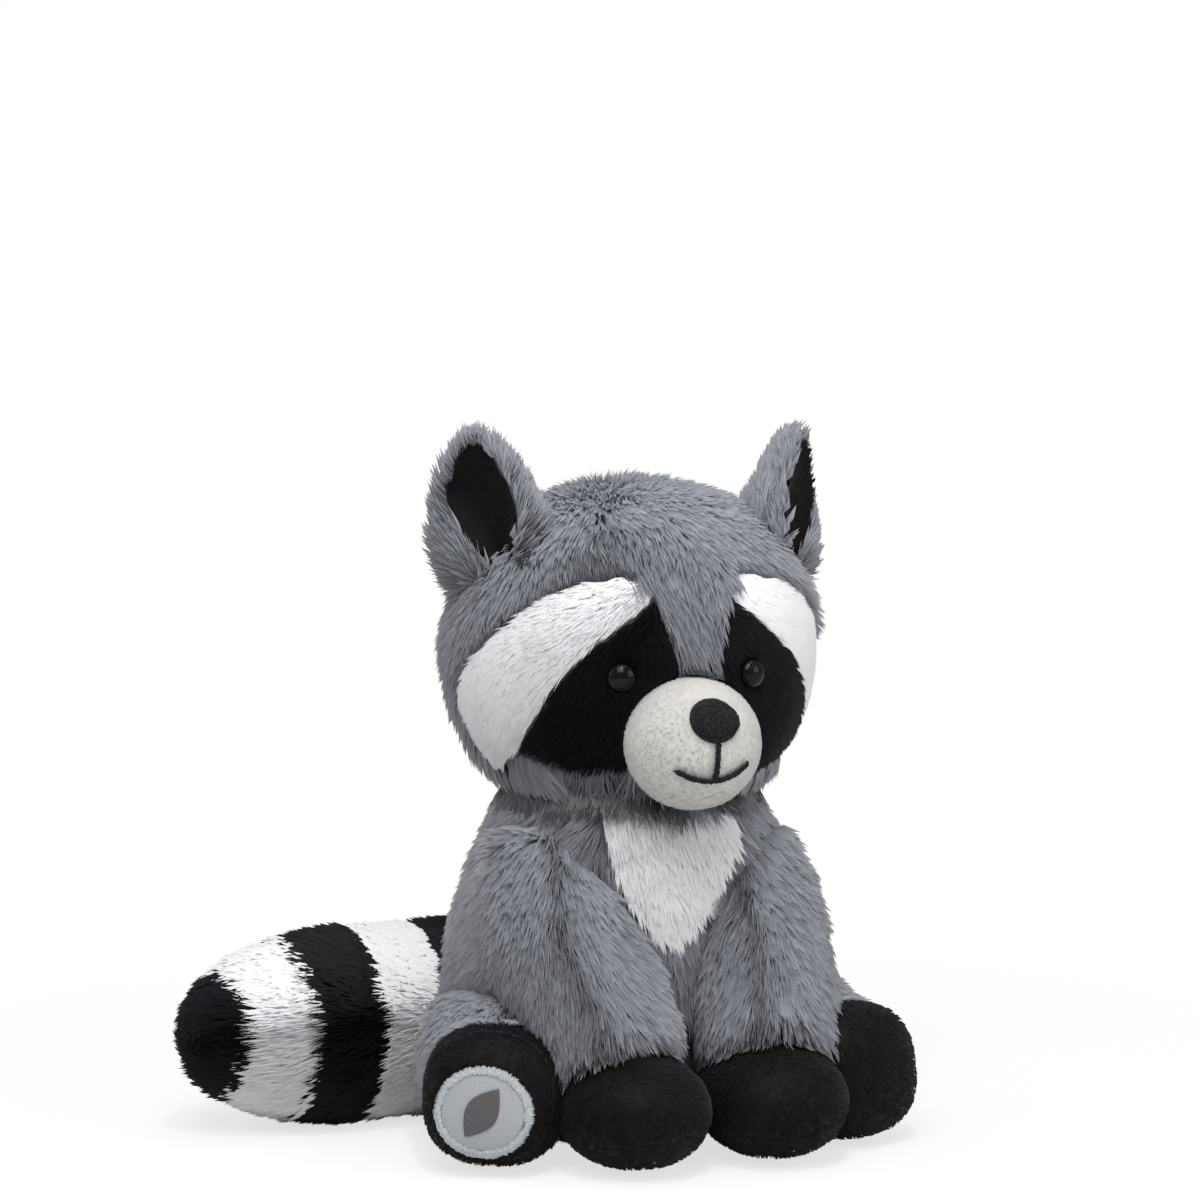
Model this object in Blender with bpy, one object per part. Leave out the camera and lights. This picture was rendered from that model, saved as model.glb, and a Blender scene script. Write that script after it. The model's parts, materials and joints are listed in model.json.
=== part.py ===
# Seated plush raccoon, modelled as it is sewn: plush covers over stuffing, panel by panel.
# Metres, +Z up. The toy faces -Y and sits on the plane z = 0, with the origin under the middle of its seat.
# Left and right are the toy's own: its left side is +X.
import math

import bmesh
import bpy
from mathutils import Matrix, Vector

# Cloth and clearances
PLUSH_WALL = 0.005        # long-pile plush, backing and combed pile together
SHORT_WALL = 0.003        # short black pile of hands, feet and ear linings
VELBOA_WALL = 0.002       # smooth cream cloth of the muzzle
SEAM_GAP = 0.0003         # clearance between pieces that are sewn or pressed together

# Head
HEAD_CENTRE_HEIGHT = 0.177
HEAD_CENTRE_Y = 0.0
HEAD_HALF_WIDTH = 0.070
HEAD_HALF_DEPTH = 0.060
HEAD_HALF_HEIGHT = 0.064
HEAD_FULLNESS = 2.06      # 2 is an ellipsoid, more is boxier
NECK_RADIUS = 0.027       # opening between head and body

# Muzzle, nose and mouth
MUZZLE_HALF_WIDTH = 0.0255
MUZZLE_HALF_HEIGHT = 0.0245
MUZZLE_HALF_DEPTH = 0.024
MUZZLE_DROP = 0.028       # muzzle centre below the head's centre
MUZZLE_FORWARD = 0.060    # muzzle centre ahead of the head's centre
NOSE_WIDTH = 0.018
NOSE_HEIGHT = 0.016
NOSE_LIFT = 0.010         # nose centre above the muzzle's centre
STITCH_THICKNESS = 0.0012
STITCH_WIDTH = 0.0018
MOUTH_WIDTH = 0.026
MOUTH_DROP = 0.011        # lowest point of the smile below the muzzle's centre
SMILE_RISE = 0.0055       # corners of the smile above its lowest point

# Eyes: domed plastic button, shank through the cloth, locking washer inside
EYE_DIAMETER = 0.0105
EYE_DOME_HEIGHT = 0.0042
EYE_SINK = 0.0015         # rim of the dome below the surface of the pile
EYE_SIDE_ANGLE = 24.5     # degrees out from straight ahead, seen from the head's centre
EYE_LIFT_ANGLE = -4.0
SHANK_DIAMETER = 0.004
SHANK_END = 0.0025        # shank beyond the washer
WASHER_DIAMETER = 0.013
WASHER_THICKNESS = 0.0016

# Face panels as directions from the head's centre: degrees outward from straight ahead, degrees up
MASK_EDGE = [(20, 23), (34, 12.5), (47, -1), (56, -12), (71, -30)]
BROW_OUTER_EDGE = [(98, -40), (102, -27), (97, -13), (86, -1), (72, 9), (58, 19), (43, 27), (28, 31)]
PATCH_INNER_EDGE = [(48, -39), (26, -38), (22, -24), (8, -9), (8, 0), (11, 11)]

# Ears
EAR_HALF_WIDTH = 0.0205
EAR_HALF_HEIGHT = 0.034
EAR_HALF_DEPTH = 0.012
EAR_FULLNESS = 2.15
EAR_SIDE = 0.0585         # ear centre from the middle plane
EAR_HEIGHT = 0.2265       # ear centre above the floor
EAR_Y = -0.006
EAR_OUTWARD_ANGLE = 45.0  # the lining faces this far out from straight ahead
EAR_LEAN_ANGLE = 9.0      # the tip leans out
EAR_TAPER = 0.38
CUP_DEPTH = 0.0075        # hollow of the ear's front
EAR_RIM = 0.0045          # grey rim round the hollow

# Body
BODY_HALF_WIDTH = 0.066
BODY_HALF_DEPTH = 0.052
BODY_SHOULDER_WIDTH = 0.0565
BODY_SHOULDER_DEPTH = 0.046
BODY_CENTRE_HEIGHT = 0.070
BODY_HALF_HEIGHT = 0.085
BODY_Y = 0.003
BODY_FULLNESS = 2.4
BIB_TOP_WIDTH = 0.060
BIB_TIP_HEIGHT = 0.073
BIB_TOP_HEIGHT = 0.122

# Arms: the middle line from the shoulder to the wrist, with the radius at each place
SHOULDER_SIDE = 0.036
SHOULDER_HEIGHT = 0.109
SHOULDER_Y = -0.008
SHOULDER_RADIUS = 0.020
ELBOW_SIDE = 0.0375
ELBOW_HEIGHT = 0.077
ELBOW_Y = -0.027
ELBOW_RADIUS = 0.0270
WRIST_SIDE = 0.029
WRIST_HEIGHT = 0.034
WRIST_Y = -0.060
WRIST_RADIUS = 0.0235

# Hands
HAND_SIDE = 0.0264
HAND_Y = -0.0695
HAND_HEIGHT = 0.0198
HAND_HALF_WIDTH = 0.0272
HAND_HALF_LENGTH = 0.032
HAND_HALF_HEIGHT = 0.0217
HAND_FULLNESS = 2.3
HAND_SEAM_HEIGHT = 0.0145

# Legs and feet
HIP_SIDE = 0.040
HIP_Y = 0.020
HIP_HEIGHT = 0.038
HIP_RADIUS = 0.022
THIGH_RADIUS = 0.0315
ANKLE_RADIUS = 0.0235
LEG_LENGTH = 0.076        # hip to the middle of the foot
THIGH_SHARE = 0.42        # the thickest place, as a share of that length
LEG_SPREAD_RIGHT = 24.0   # degrees out from straight ahead
LEG_SPREAD_LEFT = 18.0
FOOT_HALF_WIDTH = 0.0262
FOOT_HALF_HEIGHT = 0.0258
FOOT_HALF_LENGTH = 0.0235
FOOT_FULLNESS = 2.5
FOOT_TILT = 9.0           # the sole looks up by this angle
FOOT_TURN = 6.0           # the sole turns out from the leg by this angle
SOLE_SEAM_DEPTH = 0.0125  # seam of the sole behind the sole's front

# Badge on the right sole
BADGE_WIDTH = 0.037
BADGE_HEIGHT = 0.033
BADGE_BORDER = 0.0035
BADGE_THICKNESS = 0.0009
BORDER_THICKNESS = 0.0016
LEAF_LENGTH = 0.021
LEAF_WIDTH = 0.0115
LEAF_THICKNESS = 0.0008
LEAF_ANGLE = 35.0         # degrees the leaf leans

# Tail
TAIL_ROOT_OUT = 0.002             # where it leaves the back of the body, to the left
TAIL_ROOT_BACK = 0.042            # and behind the middle
TAIL_TIP_OUT = -0.1625            # where its tip lies, out to the right
TAIL_TIP_BACK = 0.038
TAIL_BACK_SWING = 0.008           # how far the tail swings back before it comes round
TAIL_SWING_SHARE = 0.62           # where along the tail the swing is coming round again
TAIL_RADIUS = 0.0360
TAIL_ROOT_RADIUS = 0.026
TAIL_SWELL_LENGTH = 0.055         # from the root to full thickness
TAIL_ROUND_LENGTH = 0.064         # rounding of the tip
TAIL_TIP_LENGTH = 0.0165          # the black tip
TAIL_WHITE_LENGTH = 0.0257        # each white band
TAIL_OUTER_BLACK_LENGTH = 0.027   # the black band nearer the tip
TAIL_INNER_BLACK_LENGTH = 0.0245

# Mesh resolution
HEAD_SEGMENTS, HEAD_RINGS = 20, 12
BODY_SEGMENTS, BODY_RINGS = 18, 10
LIMB_SEGMENTS, LIMB_RINGS = 12, 5
ROUND_SEGMENTS, ROUND_RINGS = 12, 8
TAIL_SEGMENTS = 12
TRIM_SEGMENTS = 10        # eyes and washers

HEAD_CENTRE = Vector((0, HEAD_CENTRE_Y, HEAD_CENTRE_HEIGHT))
MUZZLE_CENTRE = HEAD_CENTRE + Vector((0, -MUZZLE_FORWARD, -MUZZLE_DROP))
SIDES = {"left": 1, "right": -1}
FAR = 0.4                 # longer than the toy, for cutters that reach past it

GREY = ("grey_plush", (0.20, 0.22, 0.26), 0.95)
WHITE = ("white_plush", (0.80, 0.82, 0.85), 0.95)
BLACK = ("black_plush", (0.012, 0.012, 0.016), 0.95)
BLACK_SHORT = ("black_short_pile", (0.010, 0.010, 0.013), 0.85)
CREAM = ("cream_velboa", (0.80, 0.76, 0.70), 0.85)
THREAD = ("black_thread", (0.012, 0.012, 0.013), 0.6)
EYE_PLASTIC = ("eye_plastic", (0.006, 0.006, 0.007), 0.12)
WASHER_PLASTIC = ("washer_plastic", (0.75, 0.75, 0.73), 0.5)
STUFFING = ("stuffing", (0.86, 0.86, 0.84), 1.0)
BADGE_CLOTH = ("badge_cloth", (0.50, 0.51, 0.53), 0.8)
BADGE_THREAD = ("badge_thread", (0.62, 0.64, 0.67), 0.55)
BADGE_DARK = ("badge_dark", (0.10, 0.095, 0.10), 0.85)


# Building blocks

def new_object(name, bm):
    """Makes the object from flat triangles, split the same way at every grow, so that nested forms stay nested."""
    bmesh.ops.recalc_face_normals(bm, faces=bm.faces)
    bmesh.ops.triangulate(bm, faces=bm.faces, quad_method="FIXED", ngon_method="EAR_CLIP")
    mesh = bpy.data.meshes.new(name)
    bm.to_mesh(mesh)
    bm.free()
    piece = bpy.data.objects.new(name, mesh)
    bpy.context.collection.objects.link(piece)
    return piece


def combine(target, cutter, operation):
    step = target.modifiers.new("step", "BOOLEAN")
    step.operation = operation
    step.object = cutter
    with bpy.context.temp_override(object=target):
        bpy.ops.object.modifier_apply(modifier=step.name)
    bpy.data.objects.remove(cutter)
    return target


def cut(target, *cutters):
    for cutter in cutters:
        combine(target, cutter, "DIFFERENCE")
    return target


def join(target, addition):
    return combine(target, addition, "UNION")


def keep(target, region):
    return combine(target, region, "INTERSECT")


def merge_flat_faces(mesh):
    """Joins the flat scraps that cuts leave behind, where that keeps two faces on every edge."""
    bm = bmesh.new()
    bm.from_mesh(mesh)
    bmesh.ops.dissolve_limit(bm, angle_limit=0.001, verts=bm.verts, edges=bm.edges)
    bmesh.ops.triangulate(bm, faces=bm.faces)
    if all(edge.is_manifold for edge in bm.edges):
        bm.to_mesh(mesh)
    bm.free()


def finish(piece, name, finish_of, smooth_angle=50):
    slot, colour, roughness = finish_of
    piece.name = name
    piece.data.name = name
    merge_flat_faces(piece.data)
    material = bpy.data.materials.get(slot) or bpy.data.materials.new(slot)
    material.use_nodes = True
    shader = material.node_tree.nodes["Principled BSDF"]
    shader.inputs["Base Color"].default_value = (*colour, 1)
    shader.inputs["Roughness"].default_value = roughness
    material.diffuse_color = (*colour, 1)
    piece.data.materials.clear()
    piece.data.materials.append(material)
    piece.data.shade_smooth()
    piece.data.set_sharp_from_angle(angle=math.radians(smooth_angle))
    return piece


def inside_share(grow):
    """The inside of a cover and its stuffing take every second point of the outside."""
    return 2 if grow < 0 else 1


def mirrored(piece, name):
    """The same piece for the toy's other side."""
    twin = piece.copy()
    twin.data = piece.data.copy()
    bpy.context.collection.objects.link(twin)
    twin.name = name
    twin.data.name = name
    twin.data.transform(Matrix.Scale(-1, 4, (1, 0, 0)))
    twin.data.flip_normals()
    return twin


def finish_pair(piece, name, finish_of, smooth_angle=50):
    """Finishes a piece of the left side and makes its twin on the right."""
    finish(piece, name + "_left", finish_of, smooth_angle)
    mirrored(piece, name + "_right")


def on_side(side, form):
    """A form made for the left side, moved to the right side by mirroring when side is -1."""
    if side < 0:
        form.data.transform(Matrix.Scale(-1, 4, (1, 0, 0)))
        form.data.flip_normals()
    return form


def shaped_ball(centre, half, grow, segments, rings, fullness=2.0, shape=None, turn=None, flatten=None, twist=0.0):
    """A closed ball of the given half sizes, pushed out all over by grow. fullness 2 is an ellipsoid, more is boxier."""
    share = inside_share(grow)
    bm = bmesh.new()
    bmesh.ops.create_uvsphere(bm, u_segments=segments // share, v_segments=rings // share, radius=1)
    bm.transform(Matrix.Rotation(twist, 4, "Z"))
    for vert in bm.verts:
        n = vert.co.normalized()
        reach = sum(abs(c) ** fullness for c in n) ** (-1 / fullness)
        unit = n * reach
        point = Vector([unit[i] * (half[i] + grow) for i in range(3)])
        if shape:
            point = shape(unit, point)
        if turn:
            point = turn @ point
        point += centre
        if flatten:
            point = flatten(point, grow)
        vert.co = point
    return new_object("ball", bm)


def on_floor(point, grow):
    """Presses the underside flat where the toy rests; a wall inside stays its thickness above the floor."""
    return Vector((point.x, point.y, max(point.z, -grow)))


def ring_of(centre, along, radius, segments, grow):
    side = along.cross(Vector((0, 0, 1))).normalized()
    up = side.cross(along).normalized()
    points = []
    for k in range(segments):
        angle = 2 * math.pi * k / segments
        point = centre + (side * math.cos(angle) + up * math.sin(angle)) * radius
        points.append(on_floor(point, grow))
    return points


def loft(rings, closed=False):
    """Skins a row of rings; the two ends are capped, or joined to each other when closed."""
    bm = bmesh.new()
    loops = [[bm.verts.new(p) for p in ring] for ring in rings]
    pairs = list(zip(loops, loops[1:]))
    if closed:
        pairs.append((loops[-1], loops[0]))
    for low, high in pairs:
        count = len(low)
        for k in range(count):
            bm.faces.new((low[k], low[(k + 1) % count], high[(k + 1) % count], high[k]))
    if not closed:
        for loop in (loops[0], loops[-1]):
            bm.faces.new(loop)
    return new_object("loft", bm)


def smooth_path(places, steps):
    """Points along a smooth curve through (place, radius) pairs, with the radius in between."""
    result = []
    last = len(places) - 1
    for k in range(steps):
        t = last * k / (steps - 1)
        i = min(int(t), last - 1)
        f = t - i
        before, start = places[max(i - 1, 0)], places[i]
        end, after = places[i + 1], places[min(i + 2, last)]
        blended = []
        for part in range(2):
            a, b, c, d = before[part], start[part], end[part], after[part]
            value = b * 2 + (c - a) * f + (a * 2 - b * 5 + c * 4 - d) * f ** 2 + (b * 3 - a - c * 3 + d) * f ** 3
            blended.append(value * 0.5)
        result.append(tuple(blended))
    return result


def tube(places, grow, segments, steps):
    """A capped tube through (place, radius) pairs, pushed out all over by grow."""
    path = smooth_path(places, steps)
    rings = []
    for k, (centre, radius) in enumerate(path):
        along = (path[min(k + 1, steps - 1)][0] - path[max(k - 1, 0)][0]).normalized()
        if k == 0:
            centre = centre - along * grow
        if k == steps - 1:
            centre = centre + along * grow
        rings.append(ring_of(centre, along, radius + grow, segments // inside_share(grow), grow))
    return loft(rings)


def prism(outline, place, depth):
    """An outline of (across, up) points, given depth along the local Y axis either way, and put in place."""
    bm = bmesh.new()
    front = [bm.verts.new(Vector((x, -depth, z))) for x, z in outline]
    back = [bm.verts.new(Vector((x, depth, z))) for x, z in outline]
    count = len(outline)
    for k in range(count):
        bm.faces.new((front[k], front[(k + 1) % count], back[(k + 1) % count], back[k]))
    bm.faces.new(front)
    bm.faces.new(back)
    bm.transform(place)
    return new_object("prism", bm)


def oval(width, height, count=14):
    points = []
    for k in range(count):
        angle = 2 * math.pi * k / count
        points.append((width / 2 * math.cos(angle), height / 2 * math.sin(angle)))
    return points


def block(low, high):
    bm = bmesh.new()
    bmesh.ops.create_cube(bm, size=1)
    for vert in bm.verts:
        vert.co = Vector([low[i] if vert.co[i] < 0 else high[i] for i in range(3)])
    return new_object("block", bm)


def turned(profile, place, segments):
    """Turns a profile of (radius, height) points about the local Z axis; a radius of 0 at an end is a pole."""
    rings = []
    for radius, height in profile:
        points = []
        for k in range(segments):
            angle = 2 * math.pi * k / segments
            points.append(place @ Vector((radius * math.cos(angle), radius * math.sin(angle), height)))
        rings.append(points)
    return loft(rings)


def moved_outline(outline, distance):
    """The outline with every side moved out by distance, in the outline's own unit."""
    area = 0
    count = len(outline)
    for k in range(count):
        (x0, y0), (x1, y1) = outline[k], outline[(k + 1) % count]
        area += x0 * y1 - x1 * y0
    turn = 1 if area > 0 else -1
    moved = []
    for k in range(count):
        before, here, after = (Vector(outline[(k + i) % count]) for i in (-1, 0, 1))
        first = (here - before).normalized()
        second = (after - here).normalized()
        out = (Vector((first.y, -first.x)) + Vector((second.y, -second.x))) * turn
        moved.append(tuple(here + out / max(out.length_squared, 0.5) * 2 * distance))
    return moved


def face_region(outline, side, distance):
    """A cone from the head's centre through an outline of directions, its sides moved out by distance."""
    moved = moved_outline(outline, math.degrees(distance / HEAD_HALF_WIDTH))
    rings = []
    for reach in (HEAD_HALF_DEPTH * 0.3, HEAD_HALF_WIDTH * 2.4):
        ring = []
        for across, lift in moved:
            a, e = math.radians(across), math.radians(lift)
            direction = Vector((side * math.sin(a) * math.cos(e), -math.cos(a) * math.cos(e), math.sin(e)))
            ring.append(HEAD_CENTRE + direction * reach)
        rings.append(ring)
    return loft(rings)


# Outer forms. grow moves the whole surface out, or in when negative, so that
# a cover's inside, its stuffing and the dents of its neighbours all follow one form.

def head_form(grow):
    half = (HEAD_HALF_WIDTH, HEAD_HALF_DEPTH, HEAD_HALF_HEIGHT)
    return shaped_ball(HEAD_CENTRE, half, grow, HEAD_SEGMENTS, HEAD_RINGS, fullness=HEAD_FULLNESS)


def muzzle_form(grow):
    half = (MUZZLE_HALF_WIDTH, MUZZLE_HALF_DEPTH, MUZZLE_HALF_HEIGHT)
    turn = Matrix.Rotation(math.radians(90), 3, "X")
    half_turned = (half[0], half[2], half[1])
    return shaped_ball(MUZZLE_CENTRE, half_turned, grow, ROUND_SEGMENTS + 2, ROUND_RINGS, turn=turn)


def body_form(grow):
    def pear(unit, point):
        height = unit.z * BODY_HALF_HEIGHT
        share = min(max(height / (HEAD_CENTRE_HEIGHT - HEAD_HALF_HEIGHT - BODY_CENTRE_HEIGHT), -0.4), 1.4)
        wide = (BODY_SHOULDER_WIDTH - BODY_HALF_WIDTH) * share
        deep = (BODY_SHOULDER_DEPTH - BODY_HALF_DEPTH) * share
        return point + Vector((unit.x * wide, unit.y * deep, 0))

    centre = Vector((0, BODY_Y, BODY_CENTRE_HEIGHT))
    half = (BODY_HALF_WIDTH, BODY_HALF_DEPTH, BODY_HALF_HEIGHT)
    return shaped_ball(centre, half, grow, BODY_SEGMENTS, BODY_RINGS, fullness=BODY_FULLNESS, shape=pear, flatten=on_floor)


def arm_form(side, grow):
    places = [
        (Vector((SHOULDER_SIDE, SHOULDER_Y, SHOULDER_HEIGHT)), SHOULDER_RADIUS),
        (Vector((ELBOW_SIDE, ELBOW_Y, ELBOW_HEIGHT)), ELBOW_RADIUS),
        (Vector((WRIST_SIDE, WRIST_Y, WRIST_HEIGHT)), WRIST_RADIUS),
    ]
    return on_side(side, tube(places, grow, LIMB_SEGMENTS, LIMB_RINGS))


def hand_form(side, grow):
    def pressed(point, grow):
        """Flat underneath, and flat where the two hands meet on the middle plane."""
        return on_floor(Vector((max(point.x, SEAM_GAP / 2 - grow), point.y, point.z)), grow)

    centre = Vector((HAND_SIDE, HAND_Y, HAND_HEIGHT))
    half = (HAND_HALF_WIDTH, HAND_HALF_LENGTH, HAND_HALF_HEIGHT)
    ball = shaped_ball(centre, half, grow, ROUND_SEGMENTS, ROUND_RINGS, fullness=HAND_FULLNESS, flatten=pressed)
    return on_side(side, ball)


def leg_direction(side):
    spread = math.radians(LEG_SPREAD_LEFT if side > 0 else LEG_SPREAD_RIGHT)
    return Vector((side * math.sin(spread), -math.cos(spread), 0))


def foot_centre(side):
    hip = Vector((side * HIP_SIDE, HIP_Y, 0))
    return hip + leg_direction(side) * LEG_LENGTH + Vector((0, 0, FOOT_HALF_HEIGHT - SEAM_GAP))


def foot_turn(side):
    spread = (LEG_SPREAD_LEFT if side > 0 else LEG_SPREAD_RIGHT) + FOOT_TURN
    outward = Matrix.Rotation(math.radians(side * spread), 4, "Z")
    return outward @ Matrix.Rotation(math.radians(-FOOT_TILT), 4, "X")


def leg_form(side, grow):
    hip = Vector((side * HIP_SIDE, HIP_Y, HIP_HEIGHT))
    ankle = foot_centre(side)
    middle = hip.lerp(ankle, THIGH_SHARE)
    middle.z = THIGH_RADIUS + SEAM_GAP
    places = [(hip, HIP_RADIUS), (middle, THIGH_RADIUS), (ankle, ANKLE_RADIUS)]
    return tube(places, grow, LIMB_SEGMENTS, LIMB_RINGS)


def foot_form(side, grow):
    half = (FOOT_HALF_WIDTH, FOOT_HALF_HEIGHT, FOOT_HALF_LENGTH)
    turn = foot_turn(side).to_3x3() @ Matrix.Rotation(math.radians(90), 3, "X")
    return shaped_ball(foot_centre(side), half, grow, ROUND_SEGMENTS, ROUND_RINGS, fullness=FOOT_FULLNESS,
                       turn=turn, flatten=on_floor)


# Head

def make_eye(side, grow):
    """The eye about its own axis: dome outside, shank inside; height 0 is the surface of the pile."""
    radius = EYE_DIAMETER / 2 + grow
    shank = SHANK_DIAMETER / 2 + grow
    low = -EYE_SINK - grow
    washer_depth = washer_seat() + WASHER_THICKNESS
    profile = [(shank, -washer_depth - SHANK_END - grow), (shank, low), (radius, low)]
    for k in range(3):
        angle = math.radians(32 * k + 8)
        profile.append((radius * math.cos(angle), -EYE_SINK + (EYE_DOME_HEIGHT + grow) * math.sin(angle)))
    return turned(profile, eye_place(side), TRIM_SEGMENTS)


def washer_seat():
    """Depth of the washer's face: the cover's thickness, and the bow of the cover across the washer."""
    bow = (WASHER_DIAMETER / 2) ** 2 / (2 * HEAD_HALF_DEPTH)
    return PLUSH_WALL + bow + 2 * SEAM_GAP


def eye_place(side):
    a, e = math.radians(EYE_SIDE_ANGLE), math.radians(EYE_LIFT_ANGLE)
    direction = Vector((side * math.sin(a) * math.cos(e), -math.cos(a) * math.cos(e), math.sin(e)))
    half = Vector((HEAD_HALF_WIDTH, HEAD_HALF_DEPTH, HEAD_HALF_HEIGHT))
    reach = sum((direction[i] / half[i]) ** 2 for i in range(3)) ** -0.5
    point = direction * reach
    normal = Vector([point[i] / half[i] ** 2 for i in range(3)]).normalized()
    return Matrix.Translation(HEAD_CENTRE + point) @ normal.to_track_quat("Z", "Y").to_matrix().to_4x4()


def make_washer(side):
    outer = WASHER_DIAMETER / 2
    inner = (SHANK_DIAMETER / 2 + SEAM_GAP) / math.cos(math.pi / TRIM_SEGMENTS)
    top = -washer_seat()
    bottom = top - WASHER_THICKNESS
    profile = [(outer, top), (outer, bottom), (inner, bottom), (inner, top)]
    place = eye_place(side)
    rings = []
    for radius, height in profile:
        ring = []
        for k in range(TRIM_SEGMENTS):
            angle = 2 * math.pi * k / TRIM_SEGMENTS
            ring.append(place @ Vector((radius * math.cos(angle), radius * math.sin(angle), height)))
        rings.append(ring)
    return loft(rings, closed=True)


def washer_room(side):
    """Pocket behind the cloth for the washer and the end of the shank."""
    radius = WASHER_DIAMETER / 2 + SEAM_GAP
    deep = -washer_seat() - WASHER_THICKNESS - SHANK_END - 2 * SEAM_GAP
    return turned([(radius, SEAM_GAP - washer_seat()), (radius, deep)], eye_place(side), TRIM_SEGMENTS)


def neck_post(radius, low, high):
    place = Matrix.Translation((0, HEAD_CENTRE_Y, 0))
    return turned([(radius, low), (radius, high)], place, ROUND_SEGMENTS)


def head_skin():
    return cut(head_form(0), head_form(-PLUSH_WALL))


def brow_outline():
    return MASK_EDGE + BROW_OUTER_EDGE


def patch_outline():
    return MASK_EDGE + PATCH_INNER_EDGE


def ahead_of_muzzle():
    return Matrix.Translation(MUZZLE_CENTRE + Vector((0, -MUZZLE_HALF_DEPTH, 0)))


def stitched(form, region, thickness, lift=0.0):
    """A pad of thread or cloth on a form: the skin between two heights above it, inside a region."""
    pad = cut(form(SEAM_GAP + lift + thickness), form(SEAM_GAP + lift))
    return keep(pad, region)


def make_head():
    bottom = HEAD_CENTRE_HEIGHT - HEAD_HALF_HEIGHT
    cover = head_skin()
    cut(cover, neck_post(NECK_RADIUS, bottom - PLUSH_WALL, bottom + 3 * PLUSH_WALL), muzzle_form(SEAM_GAP))
    for side in SIDES.values():
        cut(cover, face_region(brow_outline(), side, SEAM_GAP / 2), face_region(patch_outline(), side, SEAM_GAP / 2))
    finish(cover, "head_cover", GREY)

    left = SIDES["left"]
    brow = keep(head_skin(), face_region(brow_outline(), left, -SEAM_GAP / 2))
    finish_pair(brow, "brow", WHITE)
    patch = keep(head_skin(), face_region(patch_outline(), left, -SEAM_GAP / 2))
    cut(patch, muzzle_form(SEAM_GAP), make_eye(left, SEAM_GAP), washer_room(left))
    finish_pair(patch, "eye_patch", BLACK)
    finish_pair(make_eye(left, 0), "eye", EYE_PLASTIC, 40)
    finish_pair(make_washer(left), "eye_washer", WASHER_PLASTIC, 30)

    stuffing = head_form(-PLUSH_WALL - SEAM_GAP)
    join(stuffing, muzzle_form(-VELBOA_WALL - SEAM_GAP))
    cut(stuffing, *(washer_room(side) for side in SIDES.values()))
    finish(stuffing, "head_stuffing", STUFFING)

    muzzle = cut(muzzle_form(0), muzzle_form(-VELBOA_WALL), head_form(-PLUSH_WALL))
    finish(muzzle, "muzzle_cover", CREAM)
    nose_place = ahead_of_muzzle() @ Matrix.Translation((0, 0, NOSE_LIFT))
    nose = stitched(muzzle_form, prism(oval(NOSE_WIDTH, NOSE_HEIGHT), nose_place, MUZZLE_HALF_DEPTH * 0.7),
                    STITCH_THICKNESS)
    finish(nose, "nose", THREAD)
    finish(make_mouth(), "mouth", THREAD)


def make_mouth():
    """The smile and the line up to the nose, one run of satin stitch."""
    half = MOUTH_WIDTH / 2
    radius = (half ** 2 + SMILE_RISE ** 2) / (2 * SMILE_RISE)
    reach = math.asin(half / radius)
    steps = 6
    lower, upper = [], []
    for k in range(steps + 1):
        angle = reach * (2 * k / steps - 1)
        for line, r in ((lower, radius + STITCH_WIDTH / 2), (upper, radius - STITCH_WIDTH / 2)):
            line.append((r * math.sin(angle), -MOUTH_DROP + radius - r * math.cos(angle)))
    stem_top = NOSE_LIFT - NOSE_HEIGHT / 2 - 2 * SEAM_GAP
    stem_low = -MOUTH_DROP
    stem = [(-STITCH_WIDTH / 2, stem_low), (STITCH_WIDTH / 2, stem_low),
            (STITCH_WIDTH / 2, stem_top), (-STITCH_WIDTH / 2, stem_top)]
    place = ahead_of_muzzle()
    depth = MUZZLE_HALF_DEPTH * 0.7
    run = join(prism(lower + upper[::-1], place, depth), prism(stem, place, depth))
    return stitched(muzzle_form, run, STITCH_THICKNESS)


# Ears

def ear_place():
    place = Matrix.Translation((EAR_SIDE, EAR_Y, EAR_HEIGHT))
    lean = Matrix.Rotation(math.radians(EAR_LEAN_ANGLE), 4, "Y")
    return place @ lean @ Matrix.Rotation(math.radians(EAR_OUTWARD_ANGLE), 4, "Z")


def leaf_shape(unit, point):
    """Narrower and thinner towards the tip."""
    narrow = 1 - EAR_TAPER * max(unit.z, -0.2)
    return Vector((point.x * narrow, point.y * narrow, point.z))


def ear_form():
    half = (EAR_HALF_WIDTH, EAR_HALF_DEPTH, EAR_HALF_HEIGHT)
    place = ear_place()
    return shaped_ball(place.translation, half, 0, ROUND_SEGMENTS, ROUND_RINGS, fullness=EAR_FULLNESS,
                       shape=leaf_shape, turn=place.to_3x3())


def cup_form(grow):
    """The hollow of the ear's front: a leaf ahead of the ear, reaching CUP_DEPTH into it."""
    half = (EAR_HALF_WIDTH - EAR_RIM, EAR_HALF_DEPTH, EAR_HALF_HEIGHT - EAR_RIM)
    place = ear_place() @ Matrix.Translation((0, CUP_DEPTH - 2 * EAR_HALF_DEPTH, 0))
    return shaped_ball(place.translation, half, grow, ROUND_SEGMENTS, ROUND_RINGS, fullness=EAR_FULLNESS,
                       turn=place.to_3x3(), twist=math.pi / ROUND_SEGMENTS)


def make_ears():
    back = cut(ear_form(), cup_form(SHORT_WALL + SEAM_GAP), head_form(SEAM_GAP))
    finish_pair(back, "ear_back", GREY)
    lining = keep(ear_form(), cup_form(SHORT_WALL))
    cut(lining, cup_form(0), head_form(SEAM_GAP))
    finish_pair(lining, "ear_lining", BLACK_SHORT)


# Body

def body_solid(inset):
    """The body's form moved in by inset, with the hollow that the head presses into its top."""
    return cut(body_form(-inset), head_form(SEAM_GAP + inset))


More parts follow.
